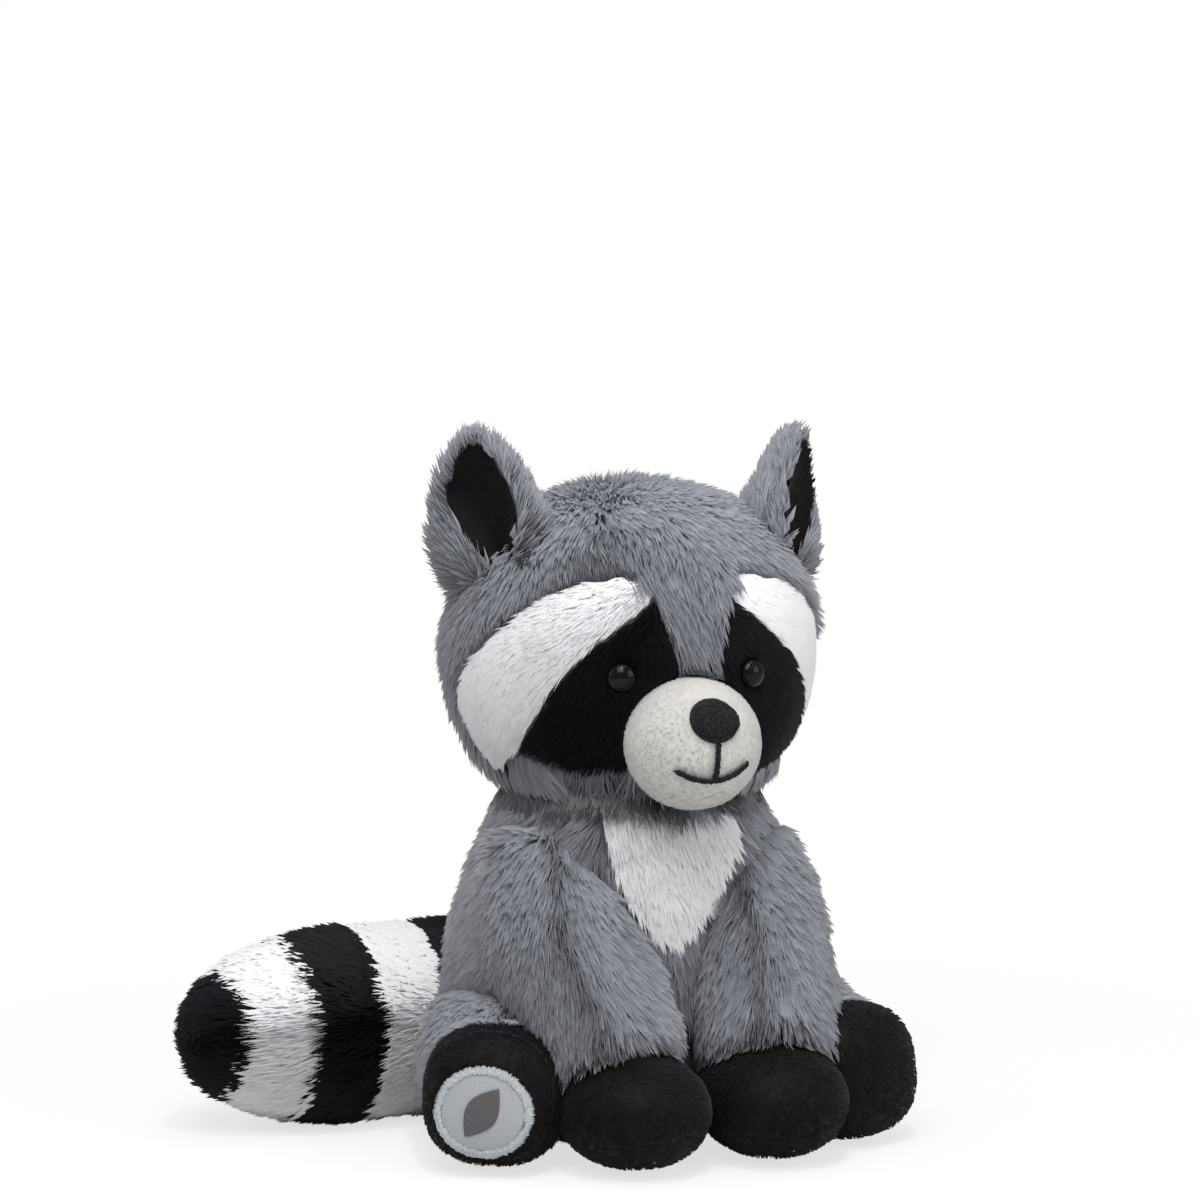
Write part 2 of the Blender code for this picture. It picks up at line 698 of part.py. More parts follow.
def bib_region(distance):
    half = BIB_TOP_WIDTH / 2
    drop = BIB_TOP_HEIGHT - BIB_TIP_HEIGHT
    right = [(0.22 * half, BIB_TIP_HEIGHT + 0.06 * drop), (0.55 * half, BIB_TIP_HEIGHT + 0.36 * drop),
             (0.86 * half, BIB_TIP_HEIGHT + 0.76 * drop), (half, BIB_TOP_HEIGHT + drop)]
    outline = [(0, BIB_TIP_HEIGHT)] + right + [(-x, z) for x, z in reversed(right)]
    depth = BODY_HALF_DEPTH
    return prism(moved_outline(outline, distance), Matrix.Translation((0, BODY_Y - depth, 0)), depth)


def body_skin():
    top = HEAD_CENTRE_HEIGHT - HEAD_HALF_HEIGHT
    skin = cut(body_solid(0), body_solid(PLUSH_WALL))
    return cut(skin, neck_post(NECK_RADIUS, top - 3 * PLUSH_WALL, top + 3 * PLUSH_WALL))


def make_body():
    finish(cut(body_skin(), bib_region(SEAM_GAP / 2)), "body_cover", GREY)
    finish(keep(body_skin(), bib_region(-SEAM_GAP / 2)), "bib", WHITE)
    top = HEAD_CENTRE_HEIGHT - HEAD_HALF_HEIGHT
    stuffing = body_solid(PLUSH_WALL + SEAM_GAP)
    join(stuffing, neck_post(NECK_RADIUS - SEAM_GAP, top - 4 * PLUSH_WALL, top + 2 * PLUSH_WALL))
    cut(stuffing, head_form(-PLUSH_WALL))
    finish(stuffing, "body_stuffing", STUFFING)


# Arms and hands

def arm_solid(side, inset):
    """The arm moved in by inset, with the dents of the body and the head that it is pressed against."""
    return cut(arm_form(side, -inset), body_form(SEAM_GAP + inset), head_form(SEAM_GAP + inset))


def hand_solid(side, inset):
    return cut(hand_form(side, -inset), body_form(SEAM_GAP + inset))


def below(height):
    return block((-FAR, -FAR, -FAR), (FAR, FAR, height))


def hand_skin(side):
    return cut(hand_solid(side, 0), hand_solid(side, SHORT_WALL), arm_form(side, -PLUSH_WALL))


def make_arms():
    side = SIDES["left"]
    sleeve = cut(arm_solid(side, 0), arm_solid(side, PLUSH_WALL), hand_form(side, SEAM_GAP))
    finish_pair(sleeve, "arm_cover", GREY)
    finish_pair(cut(hand_skin(side), below(HAND_SEAM_HEIGHT + SEAM_GAP / 2)), "hand_upper", BLACK_SHORT)
    finish_pair(keep(hand_skin(side), below(HAND_SEAM_HEIGHT - SEAM_GAP / 2)), "hand_sole", BLACK_SHORT)
    filling = join(arm_solid(side, PLUSH_WALL + SEAM_GAP), hand_solid(side, SHORT_WALL + SEAM_GAP))
    finish_pair(filling, "arm_stuffing", STUFFING)


# Legs and feet

def foot_solid(side, inset):
    return cut(foot_form(side, -inset), hand_form(side, SEAM_GAP + inset), arm_form(side, SEAM_GAP + inset),
               body_form(SEAM_GAP + inset))


def leg_solid(side, inset):
    return cut(leg_form(side, -inset), body_form(SEAM_GAP + inset), arm_form(side, SEAM_GAP + inset),
               hand_form(side, SEAM_GAP + inset))


def sole_place(side):
    return Matrix.Translation(foot_centre(side)) @ foot_turn(side) @ Matrix.Translation((0, -FOOT_HALF_LENGTH, 0))


def ahead_of_sole_seam(side, distance):
    region = block((-FAR, -FAR, -FAR), (FAR, SOLE_SEAM_DEPTH + distance, FAR))
    region.data.transform(sole_place(side))
    return region


def make_leg(name, side):
    haunch = cut(leg_solid(side, 0), leg_solid(side, PLUSH_WALL), foot_form(side, SEAM_GAP))
    finish(haunch, "leg_cover_" + name, GREY)
    for node, front in (("foot_upper_", False), ("foot_sole_", True)):
        panel = cut(foot_solid(side, 0), foot_solid(side, SHORT_WALL), leg_form(side, -PLUSH_WALL))
        if front:
            keep(panel, ahead_of_sole_seam(side, -SEAM_GAP / 2))
        else:
            cut(panel, ahead_of_sole_seam(side, SEAM_GAP / 2))
        finish(panel, node + name, BLACK_SHORT)
    filling = join(leg_solid(side, PLUSH_WALL + SEAM_GAP), foot_solid(side, SHORT_WALL + SEAM_GAP))
    finish(filling, "leg_stuffing_" + name, STUFFING)


def make_badge():
    """Cloth badge on the right sole: a plain oval with a satin-stitched border and a leaf."""
    side = SIDES["right"]
    place = sole_place(side)
    depth = SOLE_SEAM_DEPTH - SEAM_GAP

    def sole(grow):
        return foot_form(side, grow)

    def inner_oval(distance):
        return oval(BADGE_WIDTH - 2 * BADGE_BORDER + distance, BADGE_HEIGHT - 2 * BADGE_BORDER + distance)

    ring = cut(prism(oval(BADGE_WIDTH, BADGE_HEIGHT), place, depth), prism(inner_oval(2 * SEAM_GAP), place, 2 * depth))
    finish(stitched(sole, ring, BORDER_THICKNESS), "sole_badge_border", BADGE_THREAD)
    finish(stitched(sole, prism(inner_oval(0), place, depth), BADGE_THICKNESS), "sole_badge", BADGE_CLOTH)
    leaf = []
    steps = 7
    for k in range(steps):
        share = k / steps
        leaf.append((LEAF_WIDTH / 2 * math.sin(math.pi * share), LEAF_LENGTH * (share - 0.5)))
    leaf += [(-x, -z) for x, z in leaf]
    leaf_place = place @ Matrix.Rotation(math.radians(LEAF_ANGLE), 4, "Y")
    finish(stitched(sole, prism(leaf, leaf_place, depth), LEAF_THICKNESS, BADGE_THICKNESS + SEAM_GAP),
           "sole_badge_leaf", BADGE_DARK)


# Tail

def tail_line():
    root = Vector((TAIL_ROOT_OUT, TAIL_ROOT_BACK, TAIL_RADIUS))
    tip = Vector((TAIL_TIP_OUT, TAIL_TIP_BACK, TAIL_RADIUS))
    reach = (tip - root).length
    back = Vector((0, TAIL_BACK_SWING, 0))
    first = root + Vector((-0.20 * reach, 0, 0)) + back
    second = root.lerp(tip, TAIL_SWING_SHARE) + back * 0.75
    knots = [(root, 0.0), (first, 0.0), (second, 0.0), (tip, 0.0)]
    return [point for point, _ in smooth_path(knots, 49)]


TAIL_LINE = tail_line()
TAIL_LENGTH = sum((b - a).length for a, b in zip(TAIL_LINE, TAIL_LINE[1:]))


def tail_place(distance):
    """The place on the middle line at a distance from the root, carried on straight past either end."""
    left = distance
    for a, b in zip(TAIL_LINE, TAIL_LINE[1:]):
        step = (b - a).length
        if left <= step or b is TAIL_LINE[-1]:
            return a + (b - a) * (left / step)
        left -= step


def tail_ring(station, grow):
    """A ring of the tail. Over the rounded tip, every layer keeps its rings on the same lines."""
    round_start = TAIL_LENGTH - TAIL_ROUND_LENGTH
    past = max(station - round_start, 0)
    distance = station + past * grow / TAIL_ROUND_LENGTH
    along = (tail_place(distance + TAIL_ROOT_RADIUS / 2) - tail_place(distance - TAIL_ROOT_RADIUS / 2)).normalized()
    swell = min(max(distance / TAIL_SWELL_LENGTH, 0), 1)
    swell = swell * swell * (3 - 2 * swell)
    radius = TAIL_ROOT_RADIUS + (TAIL_RADIUS - TAIL_ROOT_RADIUS) * swell + grow
    radius *= math.sqrt(max(1 - (past / TAIL_ROUND_LENGTH) ** 2, 0.002))
    return ring_of(tail_place(distance), along, radius, TAIL_SEGMENTS, grow)


def band_stations(low, high):
    return [low, (low + high) / 2, high]


def tip_stations(low):
    """Rings from the edge of the tip's band to its end, closer together where it rounds off."""
    round_start = TAIL_LENGTH - TAIL_ROUND_LENGTH
    first = math.asin((low - round_start) / TAIL_ROUND_LENGTH)
    steps = 4
    return [round_start + TAIL_ROUND_LENGTH * math.sin(first + (math.pi / 2 - first) * k / steps)
            for k in range(steps + 1)]


def band_lengths():
    """White and black bands in turn, from the black tip on."""
    return TAIL_WHITE_LENGTH, TAIL_OUTER_BLACK_LENGTH, TAIL_WHITE_LENGTH, TAIL_INNER_BLACK_LENGTH


def tail_edges():
    """Distances from the root of the seams between the bands, from the tip's seam back to the root."""
    edges = [TAIL_LENGTH - TAIL_TIP_LENGTH]
    for length in band_lengths():
        edges.append(edges[-1] - length)
    return edges + [0]


def tail_sleeve(low, high):
    """One band of the tail's cover, open at both ends."""
    stations = band_stations(low + SEAM_GAP / 2, high - SEAM_GAP / 2)
    outer = [tail_ring(s, 0) for s in stations]
    inner = [tail_ring(s, -PLUSH_WALL) for s in reversed(stations)]
    return loft(outer + inner, closed=True)


def tail_filling():
    edges = tail_edges()
    stations = [0]
    for high, low in reversed(list(zip(edges, edges[1:]))):
        stations += band_stations(low, high)[1:]
    stations += tip_stations(edges[0])[1:]
    layer = -PLUSH_WALL - SEAM_GAP
    return loft([tail_ring(s, layer)[::2] for s in stations])


def press_tail(piece, inset):
    return cut(piece, body_form(SEAM_GAP + inset), leg_form(SIDES["right"], SEAM_GAP + inset))


def make_tail():
    edges = tail_edges()
    stations = tip_stations(edges[0] + SEAM_GAP / 2)
    rings = [tail_ring(s, 0) for s in reversed(stations)] + [tail_ring(s, -PLUSH_WALL) for s in stations]
    finish(loft(rings), "tail_tip", BLACK)
    names = ["tail_band_" + str(k + 1) for k in range(len(band_lengths()))] + ["tail_root"]
    for k, name in enumerate(names):
        band = press_tail(tail_sleeve(edges[k + 1], edges[k]), 0)
        finish(band, name, BLACK if k % 2 else WHITE)
    finish(press_tail(tail_filling(), PLUSH_WALL), "tail_stuffing", STUFFING)


for leftover in list(bpy.data.objects):
    bpy.data.objects.remove(leftover)
make_head()
make_body()
make_ears()
make_arms()
for side_name, side_sign in SIDES.items():
    make_leg(side_name, side_sign)
make_badge()
make_tail()
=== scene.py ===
import json
import math
from dataclasses import dataclass

import bpy
import numpy as np
from mathutils import Euler, Matrix, Vector, kdtree

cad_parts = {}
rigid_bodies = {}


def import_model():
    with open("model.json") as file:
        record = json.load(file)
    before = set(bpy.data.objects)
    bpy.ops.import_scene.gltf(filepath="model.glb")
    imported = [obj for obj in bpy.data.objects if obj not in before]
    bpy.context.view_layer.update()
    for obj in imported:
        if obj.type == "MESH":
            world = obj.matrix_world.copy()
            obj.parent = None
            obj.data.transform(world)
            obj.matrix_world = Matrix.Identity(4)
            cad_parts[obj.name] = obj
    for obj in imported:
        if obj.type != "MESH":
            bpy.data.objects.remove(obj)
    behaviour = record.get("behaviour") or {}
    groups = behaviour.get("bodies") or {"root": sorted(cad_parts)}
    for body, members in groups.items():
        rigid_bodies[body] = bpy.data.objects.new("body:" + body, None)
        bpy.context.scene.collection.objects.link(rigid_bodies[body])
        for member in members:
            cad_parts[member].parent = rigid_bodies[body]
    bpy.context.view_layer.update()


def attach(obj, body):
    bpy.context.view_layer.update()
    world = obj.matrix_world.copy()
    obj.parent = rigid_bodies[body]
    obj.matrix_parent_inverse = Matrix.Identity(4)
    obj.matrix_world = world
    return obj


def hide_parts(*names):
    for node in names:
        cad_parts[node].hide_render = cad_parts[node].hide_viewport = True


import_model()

# Photographer's table: a white floor, soft lamps and the camera at the photograph's angle.
# The toy faces -Y; its left side is +X, so its right side with the tail is on the left of the picture.


class Wire:
    """One output of a material's nodes. Sums written on it become Math nodes."""

    def __init__(self, finish, socket):
        self.finish = finish
        self.socket = socket

    def sum(self, operation, first, second):
        return self.finish.node("ShaderNodeMath", {"operation": operation}, {0: first, 1: second})

    def __add__(self, other):
        return self.sum("ADD", self, other)

    def __radd__(self, other):
        return self.sum("ADD", other, self)

    def __sub__(self, other):
        return self.sum("SUBTRACT", self, other)

    def __rsub__(self, other):
        return self.sum("SUBTRACT", other, self)

    def __mul__(self, other):
        return self.sum("MULTIPLY", self, other)

    def __rmul__(self, other):
        return self.sum("MULTIPLY", other, self)

    def __pow__(self, other):
        return self.sum("POWER", self, other)


class Finish:
    """A material by its slot's name, with one Principled shader and the nodes that feed it."""

    def __init__(self, name, roughness, **fixed):
        self.material = bpy.data.materials.new(name)
        self.material.use_nodes = True
        self.tree = self.material.node_tree
        self.shader = self.tree.nodes["Principled BSDF"]
        self.shader.inputs["Roughness"].default_value = roughness
        for socket, value in fixed.items():
            self.shader.inputs[socket.replace("_", " ")].default_value = value

    def plug(self, socket, value):
        if isinstance(value, Wire):
            self.tree.links.new(value.socket, socket)
        elif isinstance(value, (tuple, list)) and socket.type == "RGBA":
            socket.default_value = (*value[:3], 1)
        else:
            socket.default_value = value

    def node(self, kind, settings, sockets, output=0):
        made = self.tree.nodes.new(kind)
        for name, value in settings.items():
            setattr(made, name, value)
        for key, value in sockets.items():
            self.plug(made.inputs[key], value)
        return Wire(self, made.outputs[output])

    def mix(self, share, first, second, blend="MIX"):
        """Mixes two colours; the Mix node keeps its colour sockets at 6 and 7 and its colour output at 2."""
        return self.node("ShaderNodeMix", {"data_type": "RGBA", "blend_type": blend},
                         {0: share, 6: first, 7: second}, 2)

    def noise(self, place, scale, detail=2.0):
        return self.node("ShaderNodeTexNoise", {}, {"Vector": place, "Scale": scale, "Detail": detail})

    def place(self):
        return self.node("ShaderNodeTexCoord", {}, {}, "Object")

    def colour(self, value):
        self.plug(self.shader.inputs["Base Color"], value)

    def bump(self, height, distance, strength):
        made = self.node("ShaderNodeBump", {}, {"Height": height, "Distance": distance, "Strength": strength})
        self.plug(self.shader.inputs["Normal"], made)


shadow_reach = (0.12, 0.45)      # metres from the toy over which the paper turns fully white


def floor_finish():
    """Matt white paper that the camera sees nearly white, with the toy's soft shadow left on it."""
    made = Finish("floor_paper", 0.95)
    grain = made.noise(made.place(), 90)
    made.colour(made.mix(grain, (0.80, 0.80, 0.80), (0.84, 0.84, 0.84)))
    seen = made.node("ShaderNodeLightPath", {}, {}, "Is Camera Ray")
    glow = made.node("ShaderNodeEmission", {}, {"Color": (1, 1, 1), "Strength": 1.0})
    distance = made.node("ShaderNodeVectorMath", {"operation": "LENGTH"}, {0: made.place()}, "Value")
    whiteness = made.node("ShaderNodeMapRange", {"interpolation_type": "SMOOTHSTEP"},
                          {"Value": distance, "From Min": shadow_reach[0], "From Max": shadow_reach[1],
                           "To Min": 0.70, "To Max": 1.0})
    shown = made.node("ShaderNodeMixShader", {},
                      {0: seen * whiteness, 1: Wire(made, made.shader.outputs[0]), 2: glow})
    made.plug(made.tree.nodes["Material Output"].inputs["Surface"], shown)
    return made.material


bpy.ops.object.select_all(action="DESELECT")
bpy.ops.mesh.primitive_plane_add(size=12)
floor = bpy.context.object
floor.name = "floor"
floor.data.materials.append(floor_finish())

# Each lamp's place, the height over the middle that it faces, its size and its power.
# The spark is what the eyes reflect.
lamps = {"key": ((-0.42, -0.78, 1.10), 0.17, 0.75, 9.4), "fill": ((1.1, -1.3, 0.75), 0.16, 1.1, 10),
         "top": ((0.0, -0.10, 1.3), 0.15, 0.9, 4), "rim": ((-1.3, 0.5, 0.8), 0.15, 0.9, 3),
         "spark": ((-0.15, -0.60, 1.5), 0.17, 0.07, 5)}
for name, (place, height, size, power) in lamps.items():
    bpy.ops.object.light_add(type="AREA", location=place)
    lamp = bpy.context.object
    lamp.name = "lamp_" + name
    lamp.data.size = size
    lamp.data.energy = power
    lamp.rotation_euler = (Vector((0, 0, height)) - Vector(place)).to_track_quat("-Z", "Y").to_euler()

world = bpy.data.worlds.new("studio")
bpy.context.scene.world = world
world.use_nodes = True
air = world.node_tree
bpy.context.scene.view_settings.view_transform = "Standard"
white_air = air.nodes.new("ShaderNodeBackground")
white_air.inputs["Color"].default_value = (1, 1, 1, 1)
path_kind = air.nodes.new("ShaderNodeLightPath")
chosen_air = air.nodes.new("ShaderNodeMixShader")
air.nodes["Background"].inputs["Color"].default_value = (0.95, 0.97, 1.0, 1)
air.nodes["Background"].inputs["Strength"].default_value = 0.46
air.links.new(path_kind.outputs["Is Camera Ray"], chosen_air.inputs[0])
air.links.new(air.nodes["Background"].outputs[0], chosen_air.inputs[1])
air.links.new(white_air.outputs[0], chosen_air.inputs[2])
air.links.new(chosen_air.outputs[0], air.nodes["World Output"].inputs["Surface"])

bpy.ops.object.camera_add(location=(-0.4665, -1.2135, 0.285), rotation=np.radians((86.1, 0, -20.5)))
camera = bpy.context.object
camera.name = "camera"
camera.data.lens = 105.3
camera.data.sensor_width = 36
bpy.context.scene.camera = camera

# Head cover: grey long-pile plush, a round stuffed ball sewn round the face panels and the muzzle.
# Each panel is its backing cloth with the pile standing on it, combed down from the crown.

head_centre = np.array((0, 0, 0.177))
head_half = np.array((0.070, 0.060, 0.064))
head_fullness = 2.06
muzzle_centre = np.array((0, -0.060, 0.149))
muzzle_half = np.array((0.0255, 0.024, 0.0245))
body_centre = np.array((0, 0.003, 0.070))
body_half = np.array((0.066, 0.052, 0.085))
body_shoulder = np.array((0.0565, 0.046))
body_fullness = 2.4
# Outlines in degrees out from straight ahead and up, seen from the head's centre. They share the mask's edge.
mask_edge = [(15, 25), (21, 19), (30, 12.5), (45, -1), (54, -12), (70, -30)]
brow_outline = mask_edge + [(98, -40), (102, -27), (97, -13), (86, -1), (72, 9.5), (58, 20), (43, 28),
                            (28, 32), (18, 31)]
patch_outline = mask_edge + [(48, -40), (26, -39), (20, -24), (6.5, -9), (6.5, 0), (9, 9), (12, 16)]
face_twist = 3.0             # degrees that the face panels sit round towards the toy's left
seam_allowance = 2.5         # degrees of cover that lie under a face panel's edge
long_pile_depth = 0.0048     # backing below the combed surface
face_pile_depth = 0.0036
short_pile_depth = 0.0010
backing = 0.0006             # thickness of every backing cloth
root_sink = 0.0004           # of each lock in its backing
sides = (("left", 1), ("right", -1))


def get_points(piece):
    flat = np.empty(len(piece.data.vertices) * 3, np.float32)
    piece.data.vertices.foreach_get("co", flat)
    return flat.reshape(-1, 3).astype(float)


def set_points(piece, places):
    piece.data.vertices.foreach_set("co", np.ascontiguousarray(places, np.float32).ravel())
    piece.data.update()


def get_normals(mesh):
    flat = np.empty(len(mesh.vertices) * 3, np.float32)
    mesh.vertices.foreach_get("normal", flat)
    return flat.reshape(-1, 3).astype(float)


def tree_of(places):
    tree = kdtree.KDTree(len(places))
    for k, place in enumerate(places):
        tree.insert(place, k)
    tree.balance()
    return tree


def unit_ball(name, segments, rings):
    bpy.ops.object.select_all(action="DESELECT")
    bpy.ops.mesh.primitive_uv_sphere_add(segments=segments, ring_count=rings, radius=1)
    piece = bpy.context.object
    piece.name = name
    piece.data.name = name
    return piece


def unit_length(vectors):
    return vectors / np.maximum(np.linalg.norm(vectors, axis=1, keepdims=True), 1e-9)


def ball_points(unit, centre, half, grow, fullness=2.0):
    reach = (np.abs(unit) ** fullness).sum(1) ** (-1 / fullness)
    return centre + unit * reach[:, None] * (half + grow)


def above_ball(places, centre, half, fullness=2.0):
    """Height of places above a ball's surface, negative inside it, measured along the line to its centre."""
    away = places - centre
    share = (np.abs(away / half) ** fullness).sum(1) ** (1 / fullness)
    return np.linalg.norm(away, axis=1) * (1 - 1 / np.maximum(share, 1e-6))


def above_head(places):
    return above_ball(places, head_centre, head_half, head_fullness)


def above_muzzle(places):
    return above_ball(places, muzzle_centre, muzzle_half)


def body_girth(heights):
    """Half width and half depth of the body at a height: a pear, narrower at the shoulders."""
    share = np.clip((heights - body_centre[2]) / (head_centre[2] - head_half[2] - body_centre[2]), -0.4, 1.4)
    return body_half[:2] + (body_shoulder - body_half[:2]) * share[:, None]


def above_body(places):
    away = places - body_centre
    half = np.column_stack((body_girth(places[:, 2]), np.full(len(places), body_half[2])))
    share = (np.abs(away / half) ** body_fullness).sum(1) ** (1 / body_fullness)
    return np.linalg.norm(away, axis=1) * (1 - 1 / np.maximum(share, 1e-6))


def depth_inside(outline, across, up):
    """How far each (across, up) lies inside a closed outline, below zero outside it."""
    inside = np.zeros(len(across), bool)
    nearest = np.full(len(across), np.inf)
    for (x0, y0), (x1, y1) in zip(outline, outline[1:] + outline[:1]):
        run, rise = x1 - x0, y1 - y0
        share = np.clip(((across - x0) * run + (up - y0) * rise) / (run ** 2 + rise ** 2), 0, 1)
        nearest = np.minimum(nearest, np.hypot(across - x0 - share * run, up - y0 - share * rise))
        if rise:
            inside ^= ((y0 > up) != (y1 > up)) & (across < run * (up - y0) / rise + x0)
    return np.where(inside, nearest, -nearest)


def depth_in_panel(places, outline, side=0):
    """Depth in degrees inside a face panel's outline. Side 0 means either side."""
    away = unit_length(places - head_centre)
    across = np.degrees(np.arctan2(away[:, 0], -away[:, 1])) - face_twist
    depth = depth_inside(outline, np.abs(across), np.degrees(np.arcsin(away[:, 2])))
    return np.where(across * side < 0, -90, depth)


def depth_in_face(places):
    return np.maximum(depth_in_panel(places, brow_outline), depth_in_panel(places, patch_outline))


def keep_faces(piece, wanted, smoothing=6):
    """Cuts a panel out of a form: keeps the faces whose middles are wanted, and evens the cut edge."""
    places = get_points(piece)
    middles = np.array([places[list(face.vertices)].mean(0) for face in piece.data.polygons])
    chosen = wanted(middles)
    bpy.ops.object.select_all(action="DESELECT")
    bpy.context.view_layer.objects.active = piece
    piece.select_set(True)
    bpy.ops.object.mode_set(mode="EDIT")
    bpy.ops.mesh.select_mode(type="FACE")
    bpy.ops.mesh.select_all(action="DESELECT")
    bpy.ops.object.mode_set(mode="OBJECT")
    piece.data.polygons.foreach_set("select", ~chosen)
    bpy.ops.object.mode_set(mode="EDIT")
    bpy.ops.mesh.delete(type="FACE")
    bpy.ops.mesh.select_mode(type="VERT")
    bpy.ops.mesh.select_all(action="DESELECT")
    bpy.ops.mesh.select_non_manifold()
    bpy.ops.mesh.vertices_smooth(factor=0.5, repeat=smoothing)
    bpy.ops.mesh.select_all(action="DESELECT")
    bpy.ops.object.mode_set(mode="OBJECT")


def ripple(places, size, seed):
    """Smooth random values over space, mostly between -1 and 1, changing over about size metres."""
    rng = np.random.default_rng(seed)
    waves = rng.normal(size=(12, 3)) * (3.0 / size)
    return np.sin(places @ waves.T + rng.uniform(0, 2 * math.pi, 12)).sum(1) / 4


@dataclass
class Pile:
    """Combed pile: tapered locks, each a slim closed spike bent once, standing on a panel's backing."""
    density: float               # locks per square millimetre
    length: float
    width: float
    flow: object                 # combing direction at given places
    lean: float = 0.58           # 0 upright, 1 lying flat
    bend: float = 0.55
    clump: float = 0.28          # how far tips draw together
    clump_share: float = 0.20    # share of the locks that the others lean to
    swirl: float = 0.18
    ragged: float = 0.30
    growing: object = None       # where there are roots at all
    kept_off: object = None      # places that no tip may reach; locks there are cut shorter
    clear_of: tuple = ()         # neighbours that the tips are combed over: height above, centre, room
    size_at: object = None       # share of the full length at given roots
    tilt: float = 0.45           # how far the shading rounds each lock
    seed: int = 1


def roots_on(piece, pile, rng):
    mesh = piece.data
    mesh.calc_loop_triangles()
    corners = np.empty(len(mesh.loop_triangles) * 3, np.int32)
    mesh.loop_triangles.foreach_get("vertices", corners)
    corners = corners.reshape(-1, 3)
    places, normals = get_points(piece), get_normals(mesh)
    a, b, c = (places[corners[:, k]] for k in range(3))
    area = np.linalg.norm(np.cross(b - a, c - a), axis=1) / 2
    count = int(area.sum() * 1e6 * pile.density)
    chosen = rng.choice(len(area), size=count, p=area / area.sum())
    first = np.sqrt(rng.random(count))[:, None]
    second = rng.random(count)[:, None]
    share = np.hstack((1 - first, first * (1 - second), first * second))
    root = sum(share[:, k:k + 1] * places[corners[chosen, k]] for k in range(3))
    normal = unit_length(sum(share[:, k:k + 1] * normals[corners[chosen, k]] for k in range(3)))
    if pile.growing is not None:
        growing = pile.growing(root)
        root, normal = root[growing], normal[growing]
    return root, normal


def combed(piece, pile):
    """Every lock's left root, right root, middle and tip, then its directions and its shade."""
    rng = np.random.default_rng(pile.seed)
    root, normal = roots_on(piece, pile, rng)
    count = len(root)
    swirl = np.column_stack([ripple(root, 0.016, pile.seed * 10 + k) for k in range(3)])
    stray = rng.normal(size=(count, 3)) * pile.swirl * 0.55
    flow = unit_length(pile.flow(root)) + swirl * pile.swirl + stray
    flow -= (flow * normal).sum(1, keepdims=True) * normal
    flow = unit_length(flow)
    rise = normal * (1 - pile.lean)
    low = unit_length(rise * (1 + pile.bend) + flow * pile.lean)
    high = unit_length(rise * (1 - pile.bend) + flow * pile.lean)
    drift = 0.10 * ripple(root, 0.02, pile.seed + 77)
    size = pile.length * (1 + pile.ragged * rng.uniform(-1, 1, count) + drift)
    if pile.size_at is not None:
        size *= pile.size_at(root)
    size = size[:, None]
    middle = root + low * size * 0.5
    tip = middle + high * size * 0.5
    centres = rng.choice(count, size=max(1, int(count * pile.clump_share)), replace=False)
    tree = tree_of(root[centres])
    owner = centres[[tree.find(place)[1] for place in root]]
    tip += (tip[owner] - tip) * pile.clump
    middle += (middle[owner] - middle) * pile.clump * 0.35
    for above, centre_of, room in pile.clear_of:
        for places in (middle, tip):
            height = above(places)
            low_ones = height < room
            away = unit_length(places[low_ones] - centre_of(places[low_ones]))
            places[low_ones] += away * (room - height[low_ones])[:, None]
    if pile.kept_off is not None:
        for _ in range(6):
            too_far = pile.kept_off(tip)
            tip[too_far] += (root[too_far] - tip[too_far]) * 0.2
            middle[too_far] += (root[too_far] - middle[too_far]) * 0.2
    side = unit_length(np.cross(low, normal))
    width = pile.width * rng.uniform(0.7, 1.3, count)[:, None]
    left = root - side * width / 2 - normal * root_sink
    right = root + side * width / 2 - normal * root_sink
    middle += normal * width * 0.25
    for places in (left, right, middle, tip):
        places[:, 2] = np.maximum(places[:, 2], root_sink)
    shade = rng.random(count) * 0.55 + rng.random(count)[owner] * 0.45
    return left, right, middle, tip, side, normal, high, shade


